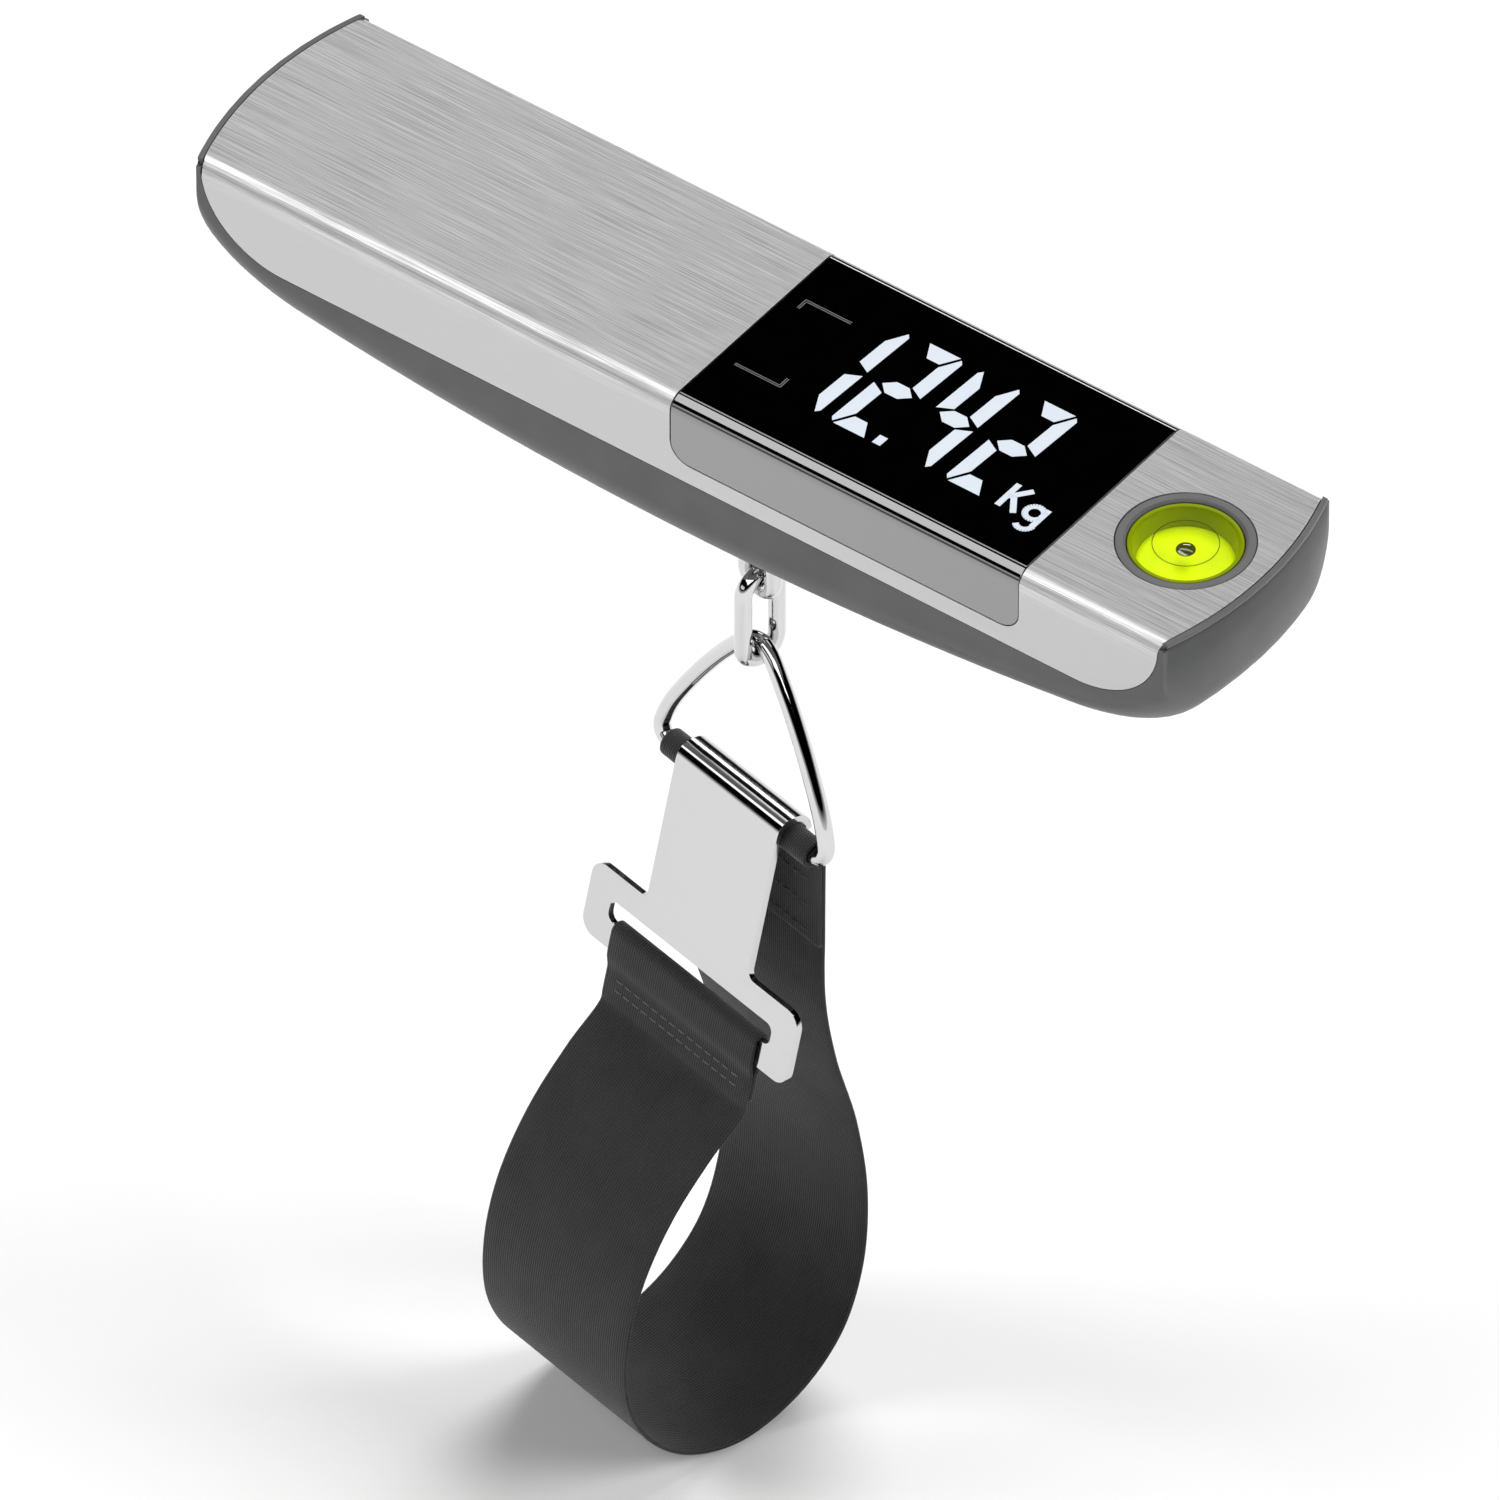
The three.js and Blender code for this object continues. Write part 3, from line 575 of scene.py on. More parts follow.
def noise(tree, vector, scale, detail, roughness=0.55):
    inputs = {"Vector": vector, "Scale": scale, "Detail": detail, "Roughness": roughness}
    return add(tree, "TexNoise", inputs).outputs["Fac"]


def spread(tree, value, low, high, bottom, top):
    """Maps low..high to bottom..top, and keeps it there outside."""
    inputs = {"Value": value, "From Min": low, "From Max": high, "To Min": bottom, "To Max": top}
    return add(tree, "MapRange", inputs).outputs["Result"]


def maths(tree, operation, a, b=0.0):
    return add(tree, "Math", {0: a, 1: b}, operation=operation).outputs[0]


def times(tree, a, b):
    return maths(tree, "MULTIPLY", a, b)


def tint(tree, factor, low, high):
    mix = add(tree, "Mix", {"Factor": factor}, data_type="RGBA")
    mix.inputs["A"].default_value = (*low, 1)
    mix.inputs["B"].default_value = (*high, 1)
    return mix.outputs["Result"]


def put(shader, key, value):
    """Links a value to a socket of the shader, in the shader's own tree."""
    shader.id_data.links.new(value, shader.inputs[key])


def paint(shader, factor, dark, light):
    put(shader, "Base Color", tint(shader.id_data, factor, dark, light))


def roughen(shader, value, low, high, bottom, top):
    put(shader, "Roughness", spread(shader.id_data, value, low, high, bottom, top))


def relief(shader, height, depth, strength=1.0):
    """Bump of the given depth in millimetres."""
    inputs = {"Height": height, "Distance": depth * MM, "Strength": strength}
    put(shader, "Normal", add(shader.id_data, "Bump", inputs).outputs["Normal"])


# ---- materials ----

def brushed_steel():
    """Fine lines along the grip on its top. The folded sides are finished more finely, and their colour is
    darkened as painted shade.
    """
    material, tree, shader = new_material("brushed_steel", Metallic=1.0, Anisotropic=0.8)
    place = place_of(tree)
    broad = noise(tree, stretched(tree, place, (14, 900, 900)), 1.0, 3.0, 0.5)
    lines = noise(tree, stretched(tree, place, (60, 6200, 6200)), 1.0, 2.0, 0.6)
    hairs = noise(tree, stretched(tree, place, (130, 12000, 12000)), 1.0, 2.0, 0.6)
    both = maths(tree, "ADD", times(tree, lines, 0.6), times(tree, hairs, 0.4))
    both = maths(tree, "ADD", times(tree, both, 0.93), times(tree, broad, 0.07))
    height = add(tree, "SeparateXYZ", {0: place}).outputs["Z"]
    top = spread(tree, height, -3.5 * MM, -0.4 * MM, 0.04, 1.0)
    brush = times(tree, maths(tree, "SUBTRACT", both, 0.5), top)
    # Brush streaks on the top, plus painted shade: the folded sides' colour is darkened below the top's.
    brush_and_painted_side_shade = maths(tree, "ADD", brush, times(tree, maths(tree, "SUBTRACT", top, 1.0), 0.055))
    level = spread(tree, brush_and_painted_side_shade, -0.12, 0.12, 0, 1)
    paint(shader, level, (0.47, 0.47, 0.474), (0.95, 0.95, 0.954))
    roughen(shader, brush, -0.15, 0.15, 0.42, 0.30)
    tangent = add(tree, "Tangent", direction_type="UV_MAP", uv_map="sheet")
    put(shader, "Tangent", tangent.outputs["Tangent"])
    relief(shader, lines, 0.004)
    return material


def plastic(name, dark, light, roughness, grain=0.02):
    material, tree, shader = new_material(name, Specular_IOR_Level=0.35)
    place = place_of(tree)
    cloud = noise(tree, place, 120.0, 3.0)
    spark = noise(tree, place, 5200.0, 2.0, 0.6)
    paint(shader, spread(tree, cloud, 0.35, 0.65, 0, 1), dark, light)
    roughen(shader, spark, 0.3, 0.7, roughness - 0.07, roughness + 0.07)
    relief(shader, spark, grain, 0.6)
    return material


def gloss_black():
    shine = {"Roughness": 0.05, "IOR": 2.3, "Coat_Weight": 1.0, "Coat_IOR": 2.2}
    material, tree, shader = new_material("black_window", **shine)
    place = place_of(tree)
    haze = noise(tree, place, 300.0, 3.0)
    paint(shader, haze, (0.0002, 0.0002, 0.0003), (0.0006, 0.0006, 0.0007))
    roughen(shader, haze, 0.3, 0.7, 0.035, 0.07)
    return material


def chrome(name, tone, roughness):
    material, tree, shader = new_material(name, Metallic=1.0)
    place = place_of(tree)
    cloud = noise(tree, place, 400.0, 4.0)
    scuff = noise(tree, stretched(tree, place, (900, 900, 260)), 1.0, 6.0, 0.7)
    dark = tuple(0.965 * c for c in tone)
    paint(shader, cloud, dark, tone)
    roughen(shader, scuff, 0.4, 0.75, roughness, roughness + 0.05)
    relief(shader, cloud, 0.004, 0.3)
    return material


def metal(name, dark, light, roughness=0.35):
    material, tree, shader = new_material(name, Metallic=1.0)
    place = place_of(tree)
    grain = noise(tree, stretched(tree, place, (600, 600, 2400)), 1.0, 5.0)
    paint(shader, grain, dark, light)
    roughen(shader, grain, 0.3, 0.7, roughness - 0.08, roughness + 0.08)
    relief(shader, grain, 0.01, 0.5)
    return material


def webbing():
    """Black tape: fine ribs along its length, crossed by the weft. The map is in metres."""
    nap = {"Roughness": 0.8, "Sheen_Weight": 0.2, "Sheen_Roughness": 0.45, "Specular_IOR_Level": 0.35}
    material, tree, shader = new_material("webbing", **nap)
    mapped = add(tree, "UVMap", uv_map="tape").outputs["UV"]
    parts = add(tree, "SeparateXYZ", {0: mapped})
    across, along = parts.outputs["X"], parts.outputs["Y"]
    rib = wave(tree, across, RIB_PITCH * MM)
    shift = times(tree, maths(tree, "FLOOR", maths(tree, "DIVIDE", across, RIB_PITCH / 2 * MM)), 0.5)
    weft = maths(tree, "ADD", maths(tree, "DIVIDE", along, WEFT_PITCH * MM), shift)
    weft = maths(tree, "SINE", times(tree, weft, 2 * pi))
    weft = spread(tree, weft, -1, 1, 0, 1)
    weave = maths(tree, "ADD", times(tree, rib, 0.6), times(tree, weft, 0.4))
    wear = noise(tree, mapped, 160.0, 5.0)
    colour = tint(tree, weave, (0.003, 0.003, 0.004), (0.046, 0.046, 0.047))
    worn = add(tree, "Mix", {"Factor": spread(tree, wear, 0.4, 0.8, 0, 0.35)}, data_type="RGBA")
    tree.links.new(colour, worn.inputs["A"])
    worn.inputs["B"].default_value = (0.048, 0.048, 0.050, 1)
    put(shader, "Base Color", worn.outputs["Result"])
    roughen(shader, weave, 0, 1, 0.9, 0.66)
    relief(shader, weave, 0.08)
    return material


def wave(tree, value, period):
    """A sine of the value with the given period, from 0 to 1."""
    turned = maths(tree, "SINE", times(tree, value, 2 * pi / period))
    return spread(tree, turned, -1, 1, 0, 1)


def thread():
    material, tree, shader = new_material("stitch_thread", Roughness=0.6)
    place = place_of(tree)
    twist = noise(tree, place, 4000.0, 3.0)
    paint(shader, twist, (0.12, 0.12, 0.122), (0.21, 0.21, 0.215))
    relief(shader, twist, 0.05)
    return material


# The emission is painted light, standing in for the fluid's fluorescence: the level's yellow glows, though
# it is no lamp.
def level_yellow(name, low, high, painted_glow):
    shine = {"Roughness": 0.25, "Specular_IOR_Level": 0.15, "Emission_Strength": painted_glow}
    material, tree, shader = new_material(name, **shine)
    place = place_of(tree)
    cloud = noise(tree, place, 200.0, 3.0)
    colour = tint(tree, cloud, low, high)
    put(shader, "Base Color", colour)
    put(shader, "Emission Color", colour)
    roughen(shader, cloud, 0.3, 0.7, 0.15, 0.3)
    return material


def clear(name, tone, cover):
    """Thin clear plastic: mostly see-through, with its own shine."""
    material, tree, shader = new_material(name, Roughness=0.03, Alpha=cover)
    cloud = noise(tree, place_of(tree), 90.0, 2.0)
    darker = tuple(0.97 * c for c in tone)
    paint(shader, cloud, darker, tone)
    return material


def digit_light():
    material, tree, shader = new_material("display_light", Roughness=0.2, Emission_Strength=0.62)
    cell = noise(tree, place_of(tree), 260.0, 2.0)
    colour = tint(tree, cell, (0.76, 0.83, 0.93), (0.82, 0.87, 0.95))
    paint(shader, cell, (0.22, 0.24, 0.27), (0.25, 0.27, 0.29))
    put(shader, "Emission Color", colour)
    return material


LOOKS = {
    "steel": brushed_steel(),
    "housing": plastic("grey_plastic", (0.098, 0.099, 0.101), (0.112, 0.113, 0.115), 0.44),
    "bush": plastic("bush_plastic", (0.030, 0.030, 0.031), (0.040, 0.040, 0.041), 0.5),
    "window": gloss_black(),
    "level_ring": plastic("level_ring_plastic", (0.115, 0.115, 0.118), (0.13, 0.13, 0.133), 0.42),
    # Lit and shaded copies of one yellow: the wall's darker colour is painted shade, and both glow as
    # painted light.
    "level_fluid_painted_glow": level_yellow("level_fluid_painted_glow", (0.54, 0.70, 0.0), (0.62, 0.78, 0.0), 0.42),
    "level_wall_painted_shade": level_yellow("level_wall_painted_shade", (0.17, 0.22, 0.0), (0.23, 0.29, 0.0), 0.08),
    "mark": plastic("level_mark", (0.02, 0.025, 0.0), (0.03, 0.035, 0.0), 0.5),
    "lens": clear("level_lens", (0.80, 0.95, 0.10), 0.03),
    "chrome": chrome("chrome", (0.68, 0.68, 0.685), 0.03),
    "bubble": chrome("level_bubble", (0.26, 0.27, 0.25), 0.02),
    "hook": chrome("hook_chrome", (0.64, 0.64, 0.645), 0.08),
    "zinc": metal("zinc_steel", (0.42, 0.43, 0.44), (0.58, 0.59, 0.60)),
    "web": webbing(),
    "thread": thread(),
    "digit": digit_light(),
    # The touch marks' grey is painted highlight on the edges of their raised rib.
    "mark_painted_highlight": plastic("touch_mark", (0.12, 0.12, 0.125), (0.16, 0.16, 0.165), 0.3, 0.005),
    "brass": metal("brass", (0.55, 0.38, 0.10), (0.68, 0.48, 0.16), 0.3),
    "aluminium": metal("aluminium", (0.50, 0.51, 0.53), (0.62, 0.63, 0.65), 0.38),
    "board": plastic("green_board", (0.012, 0.13, 0.045), (0.022, 0.19, 0.07), 0.35),
    "white": plastic("white_plastic", (0.74, 0.75, 0.71), (0.82, 0.83, 0.79), 0.45),
    "rubber": plastic("black_rubber", (0.018, 0.018, 0.019), (0.03, 0.03, 0.031), 0.7),
    "wire": plastic("red_wire", (0.32, 0.015, 0.02), (0.42, 0.025, 0.03), 0.4),
    "cell": plastic("cell_jacket", (0.03, 0.12, 0.34), (0.045, 0.16, 0.42), 0.25, 0.004),
    "glass": plastic("lcd_glass", (0.22, 0.26, 0.27), (0.28, 0.32, 0.33), 0.12, 0.003),
}

BARE_NODES = {
    "housing": ["top_frame"],
    "glass": ["lcd_module"],
    "white": ["backlight_panel", "strain_gauge_pad"],
    "rubber": ["zebra_strip", "battery_lead_minus"],
    "board": ["main_board"],
    "brass": ["touch_spring"],
    "aluminium": ["load_cell"],
    "zinc": [
        "load_cell_screw_1", "load_cell_screw_2", "battery_spring_1", "battery_spring_2",
        "contact_bridge", "contact_plus", "contact_minus", "eye_washer", "eye_nut",
    ],
    "wire": ["load_cell_lead", "battery_lead_plus"],
    "cell": ["battery_1", "battery_2"],
}


def dress_inner_pieces():
    """The pieces inside the grip keep their CAD shapes and get finished materials."""
    for look, nodes in BARE_NODES.items():
        for node in nodes:
            coat(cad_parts[node], look)


# ---- grip ----

def map_sheet(piece):
    """Map for the brushing: across the fold first, along the grip second, in metres."""
    layer = piece.data.uv_layers.new(name="sheet")
    for loop in piece.data.loops:
        x, y, z = piece.data.vertices[loop.vertex_index].co
        layer.data[loop.index].uv = (y - copysign(z, y), x)


def make_cover():
    cover = prism("steel_sheet", folded_outline(STEEL, FLANGE_Z - 5), "x", -HALF_LENGTH, HALF_LENGTH)
    plan = plan_outline(COVER_HALF_LENGTH, HALF_WIDTH + 1)
    combine(cover, prism("plan", plan, "z", -25, 5), "INTERSECT")
    combine(cover, prism("side", flange_outline(0), "y", -BEYOND, BEYOND), "INTERSECT")
    cut(cover, prism("gap", window_outline(GAP), "y", -BEYOND, BEYOND))
    cut(cover, drum("hole", LEVEL_X, 0, LEVEL_RADIUS + GAP, -5, 5, 96))
    soften(cover, 0.1)
    map_sheet(cover)
    dress(cover, "steel", "grip", "brushed_steel", "steel_cover")


def make_window():
    section = folded_outline(WINDOW_THICK, FLANGE_Z)
    window = prism("window_panel", section, "x", WINDOW_FROM - 1, WINDOW_TO + 1)
    combine(window, prism("side", window_outline(0), "y", -BEYOND, BEYOND), "INTERSECT")
    soften(window, 0.12, 3)
    dress(window, "window", "grip", "black_window", "display_window")


def round_steps(length, steps):
    """Steps that close up towards the end of a rounded edge."""
    return [length * (1 - sin(QUARTER * (i + 1) / steps)) for i in range(steps)]


def both_ways(values):
    return [-v for v in reversed(values[1:])] + values


def rim_of(wide, long):
    """The points round the edge of a grid, in order."""
    rim = [i * wide for i in range(long)]
    rim += [(long - 1) * wide + j for j in range(1, wide)]
    rim += [i * wide + wide - 1 for i in range(long - 2, -1, -1)]
    return rim + list(range(wide - 2, 0, -1))


def hull(name, inset, half_width, top, steps=12):
    """Body between a flat top and the boat-shaped underside, drawn in by inset."""
    edge = LOWER_EDGE_RADIUS - inset
    run = END_RUN - inset
    half_length = HALF_LENGTH - inset
    tip = run / half_length
    flat_y = [t * (half_width - edge) for t in (0, 0.35, 0.7, 1)]
    flat_s = [t / 10 * (1 - tip) for t in range(11)]
    columns = both_ways(flat_y + [half_width - inward for inward in round_steps(edge, steps)])
    stations = both_ways(flat_s + [1 - inward for inward in round_steps(tip, steps)])
    upper = [(s * end_x(y, half_length), y, top) for s in stations for y in columns]
    lower = []
    for x, y, _ in upper:
        side_rise = round_up(abs(y) - (half_width - edge), edge, edge)
        end_rise = round_up(abs(x) - (end_x(y, half_length) - run), run, END_RISE)
        lower.append((x, y, inset - keel(x) + side_rise + end_rise))
    wide, long = len(columns), len(stations)
    start = wide * long
    rim = rim_of(wide, long)
    faces = [tuple(rim)]
    for i in range(long - 1):
        for j in range(wide - 1):
            a = start + i * wide + j
            faces.append((a, a + 1, a + wide + 1, a + wide))
    for a, b in zip(rim, rim[1:] + rim[:1]):
        faces.append((a, b, start + b, start + a))
    piece = mesh_piece(name, upper + lower, faces)
    with editing(piece.data) as work:
        loose = [v for v in work.verts if not v.link_faces]
        bmesh.ops.delete(work, geom=loose, context="VERTS")
    return piece


def screw_places():
    """Middle of each housing screw, and its lowest point."""
    places = []
    for i in range(1, 5):
        low, high = cad_box(f"housing_screw_{i}")
        places.append(((low.x + high.x) / 2, (low.y + high.y) / 2, low.z))
    return places


def door_block(name, grow, low, high):
    near = (DOOR_LOW.x - grow, DOOR_LOW.y - grow, low)
    far = (DOOR_HIGH.x + grow, DOOR_HIGH.y + grow, high)
    return block(name, near, far)


def make_housing():
    shell = hull("housing_shell", 0, HALF_WIDTH, 0)
    cut(shell, hull("cavity", FLOOR, CAVITY_HALF_WIDTH, 1, 6))
    cut(shell, prism("plan", plan_outline(COVER_HALF_LENGTH + 0.15, HALF_WIDTH + 1), "z", RECESS_Z, 5))
    for side in (-1, 1):
        steel_depth = HALF_WIDTH - STEEL - 0.1
        window_depth = HALF_WIDTH - WINDOW_THICK - 0.1
        for outline, depth in ((flange_outline(GAP), steel_depth), (window_outline(0.3), window_depth)):
            cut(shell, prism("recess", outline, "y", *sorted((side * depth, side * BEYOND))))
    door_recess = door_block("recess", 0.15, -BEYOND, DOOR_HIGH.z)
    deeper = hull("deeper", 1.15, HALF_WIDTH - 1.15, 5)
    cut(shell, cut(door_recess, deeper))
    cut(shell, door_block("opening", -1.5, -BEYOND, -15))
    for x, y, low in screw_places():
        cut(shell, drum("recess", x, y, SCREW_RECESS_RADIUS, -BEYOND, low + 1.8, 40))
    cut(shell, drum("outlet", 0, 0, OUTLET_RADIUS, -BEYOND, -20, 64))
    soften(shell, 0.12, 2, 38)
    apply_modifiers(shell)
    groove = prism("groove", plan_outline(HALF_LENGTH + 1, HALF_WIDTH - 0.3), "z", *LIP_GROOVE)
    core = plan_outline(HALF_LENGTH - LIP_GROOVE_DEPTH, HALF_WIDTH + 1)
    cut(groove, prism("core", core, "z", -5, 9))
    cut(shell, groove)
    dress(smooth(shell), "housing", "grip", "grey_plastic", "base_housing")


def make_end_seam_shade():
    """A dark strip in the groove under each end lip: painted shade in the joint."""
    seams = prism("end_seam_shade", plan_outline(HALF_LENGTH - 0.12, HALF_WIDTH - 0.35), "z", *LIP_SEAM)
    cut(seams, prism("core", plan_outline(HALF_LENGTH - 0.32, HALF_WIDTH + 1), "z", -5, 9))
    dress(smooth(seams), "rubber", "grip", "grey_plastic")


def make_door():
    door = hull("door_panel", 0, HALF_WIDTH, 0)
    combine(door, door_block("edge", 0, -BEYOND, 0), "INTERSECT")
    cut(door, hull("inside", 1, HALF_WIDTH - 1, 5))
    for i in range(FINGER_GROOVES):
        x = DOOR_LOW.x + 4 + FINGER_GROOVE_PITCH * i
        circle = arc(x, -keel(x) - 0.3, FINGER_GROOVE_RADIUS, 0, 2 * pi, 20)[:-1]
        cut(door, prism("groove", circle, "y", -6, 6))
    soften(door, 0.1, 2, 38)
    dress(door, "housing", "door", "grey_plastic", "battery_door")


def make_screws():
    """Countersunk-edge pan heads with a cross recess."""
    for i, (x, y, low) in enumerate(screw_places()):
        top = low + SCREW_HEAD
        profile = [(0, low), (1.5, low + 0.05), (2.2, low + 0.28)]
        profile += [(SCREW_HEAD_RADIUS, low + 0.75), (SCREW_HEAD_RADIUS, top)]
        profile += [(SCREW_SHAFT, top), (SCREW_SHAFT, -4.2), (0.6, -3.5), (0, -3.5)]
        screw = lathe(f"pan_screw_{i + 1}", profile, x, y, 40)
        for a, b in ((DRIVE_HALF_LENGTH, DRIVE_HALF_WIDTH), (DRIVE_HALF_WIDTH, DRIVE_HALF_LENGTH)):
            cut(screw, block("drive", (x - a, y - b, low - 1), (x + a, y + b, low + 0.8)))
        soften(screw, 0.05, 1)
        dress(screw, "zinc", "grip", "zinc_steel", f"housing_screw_{i + 1}")


def make_bush():
    low, high = cad_box("outlet_bush")
    flange = low.z + 0.85
    profile = [(BUSH_BORE, low.z + 0.3), (3.6, low.z), (6.2, low.z), (BUSH_FLANGE, low.z + 0.35)]
    profile += [(BUSH_FLANGE, flange), (BUSH_NECK, flange), (BUSH_NECK, high.z), (BUSH_BORE, high.z)]
    bush = soften(lathe("shank_bush", profile), 0.08)
    dress(bush, "bush", "grip", "grey_plastic", "outlet_bush")


# ---- display ----

def segment_outlines():
    """The seven bars of one digit, from its lower left corner, as closed outlines."""
    w, h = DIGIT["width"], DIGIT["height"]
    t, s, g = DIGIT["upright"], DIGIT["level"], DIGIT["gap"]
    m = h / 2
    chamfer = 0.6
    top = [(g + chamfer, h), (w - g - chamfer, h), (w - g - t, h - s), (g + t, h - s)]
    right = [
        (w, m + g + 0.2), (w, h - g - chamfer), (w - 0.5, h - g),
        (w - t, h - s - g - 0.3), (w - t, m + s / 2 + g),
    ]
    middle = [
        (g + 0.7, m), (g + t, m + s / 2), (w - g - t, m + s / 2),
        (w - g - 0.7, m), (w - g - t, m - s / 2), (g + t, m - s / 2),
    ]

    def flip_x(points):
        return [(w - x, y) for x, y in points]

    def flip_y(points):
        return [(x, h - y) for x, y in points]

    return {
        "a": top, "b": right, "c": flip_y(right), "d": flip_y(top),
        "e": flip_x(flip_y(right)), "f": flip_x(right), "g": middle,
    }


def raised(name, outlines, low, high):
    """Flat shapes with a little thickness, in one piece."""
    parts = [prism(name, outline, "z", low, high) for outline in outlines]
    return merge(*parts)


def slanted(points, left):
    low = DIGIT["low"]
    return [(left + x + DIGIT_SLANT * y, low + y) for x, y in points]


def bar(x0, y0, x1, y1, width):
    """A straight stroke with square ends."""
    along = Vector((x1 - x0, y1 - y0)).normalized() * width / 2
    side = Vector((-along.y, along.x))
    a, b = Vector((x0, y0)), Vector((x1, y1))
    return [tuple(a - side), tuple(b - side), tuple(b + side), tuple(a + side)]


def unit_outlines():
    """A plain K and g, built from straight strokes."""
    x, low, stroke = UNIT_X, DIGIT["low"], 0.85
    high = low + 4.8
    strokes = [
        bar(x, low, x, high, stroke),
        bar(x + 0.25, low + 2.2, x + 2.3, high, stroke),
        bar(x + 0.7, low + 2.7, x + 2.5, low, stroke),
    ]
    left, right = x + 3.6, x + 5.9
    belly = arc((left + right) / 2, low + 1.6, 1.25, 0.35, 2 * pi - 0.35, 22)
    strokes += [bar(*belly[i], *belly[i + 1], stroke) for i in range(len(belly) - 1)]
    strokes.append(bar(right + 0.05, low + 3.1, right + 0.05, low - 0.6, stroke))
    tail = arc((left + right) / 2 + 0.1, low - 0.6, 1.2, 0, -2.5, 10)
    strokes += [bar(*tail[i], *tail[i + 1], stroke) for i in range(len(tail) - 1)]
    return strokes


def make_reading():
    segments = segment_outlines()
    shown = [slanted(segments[s], left) for digit, left in READING for s in DIGIT_SEGMENTS[digit]]
    shown.append([(x + POINT_X, y + DIGIT["low"]) for x, y in ((0, 0), (1.25, 0), (1.3, 1.7), (0.05, 1.7))])
    shown += unit_outlines()
    reading = raised("display_reading", shown, -0.02, 0.02)
    dress(reading, "digit", "grip", "white_plastic")


def make_touch_marks():
    """Two L-shaped double lines that frame the touch key. The lines are raised a little, as the moulded rib
    is, and their grey is painted highlight along its two edges.
    """
    near, far, y, leg, stroke = 1.6, 8.9, 7.65, 1.9, 0.13
    strokes = []
    for inset in (0, 0.3):
        x0, x1, side = near + inset, far - inset, y - inset
        strokes += [bar(x0, side, far, side, stroke), bar(x0, side, x0, y - leg, stroke)]
        strokes += [bar(near, -side, x1, -side, stroke), bar(x1, -side, x1, leg - y, stroke)]
    marks = raised("touch_marks", strokes, -0.02, 0.025)
    dress(marks, "mark_painted_highlight", "grip", "black_window")


# ---- level ----

def level_lathe(name, profile):
    return lathe(name, profile, LEVEL_X, 0, LEVEL_STEPS)


def make_level():
    top = RING_HIGH.z
    low = RING_LOW.z
    profile = [(LEVEL_VIEW_RADIUS, low), (LEVEL_RADIUS, low), (LEVEL_RADIUS, top - 0.12)]
    profile += [(LEVEL_RADIUS - 0.1, top), (LEVEL_VIEW_RADIUS + 0.35, top), (LEVEL_VIEW_RADIUS, top - 0.35)]
    ring = soften(level_lathe("vial_ring", profile), 0.06, 2, 30)
    dress(ring, "level_ring", "grip", "level_ring_plastic", "level_ring")
    make_vial()
    make_target()
    make_lens()
    make_bubble()


def make_vial():
    """A dished cup: the wall slopes in to the bright floor. The wall gets a darker copy of the fluid's
    yellow as painted shade.
    """
    outer = LEVEL_VIEW_RADIUS - 0.15
    top = CUP_HIGH.z
    profile = [(0, CUP_LOW.z), (outer, CUP_LOW.z), (outer, top - 0.1), (outer - 0.05, top)]
    profile += [(outer - 0.45, top), (outer - 0.6, top - 0.15), (LEVEL_FLOOR_RADIUS, LEVEL_FLOOR)]
    profile += [(LEVEL_FLOOR_RADIUS - 0.05, LEVEL_FLOOR - 0.02), (0, LEVEL_FLOOR - 0.02)]
    vial = soften(level_lathe("vial_body", profile), 0.05, 2, 25)
    dress(vial, "level_wall_painted_shade", "grip", "level_yellow", "level_cup")
    rows = [(LEVEL_FLOOR_RADIUS * t, LEVEL_FLOOR + 0.03 - 0.02 * t * t) for t in (0, 0.3, 0.6, 0.9, 1)]
    rows += [(LEVEL_FLOOR_RADIUS, LEVEL_FLOOR - 0.01), (0, LEVEL_FLOOR - 0.01)]
    fluid = smooth(level_lathe("vial_fluid", rows))
    dress(fluid, "level_fluid_painted_glow", "grip", "level_yellow")


def make_target():
    """The thin circle on top of the lens."""
    z = cad_box("level_lens")[1].z
    profile = [(TARGET_RADIUS - 0.05, z), (TARGET_RADIUS + 0.05, z)]
    profile += [(TARGET_RADIUS + 0.05, z + 0.03), (TARGET_RADIUS - 0.05, z + 0.03)]
    circle = level_lathe("target_circle", profile)
    dress(circle, "mark", "grip", "level_yellow")


def make_lens():
    low, high = cad_box("level_lens")
    radius = (high.x - low.x) / 2
    profile = [(0, high.z), (radius - 0.15, high.z), (radius, high.z - 0.15), (radius, low.z), (0, low.z)]
    lens = level_lathe("vial_lens", profile)
    dress(smooth(lens), "lens", "grip", "level_lens", "level_lens")


def make_bubble():
    low, high = cad_box("level_bubble")
    middle = (low.z + high.z) / 2 + 0.28
    profile = ellipse_arc(0, middle, BUBBLE_RADIUS, BUBBLE_HALF_HEIGHT, -QUARTER, QUARTER, 20)
    bubble = smooth(lathe("vial_bubble", profile, LEVEL_X, 0, 48))
    dress(bubble, "bubble", "bubble", "level_bubble", "level_bubble")


# ---- eye, link and ring ----

def racetrack(half_width, top, bottom):
    """Straight sides and two round ends, closed: (across, height) pairs."""
    upper = arc(0, top, half_width, 0, pi, 24)
    lower = arc(0, bottom, half_width, pi, 2 * pi, 24)
    return upper + lower + upper[:1]


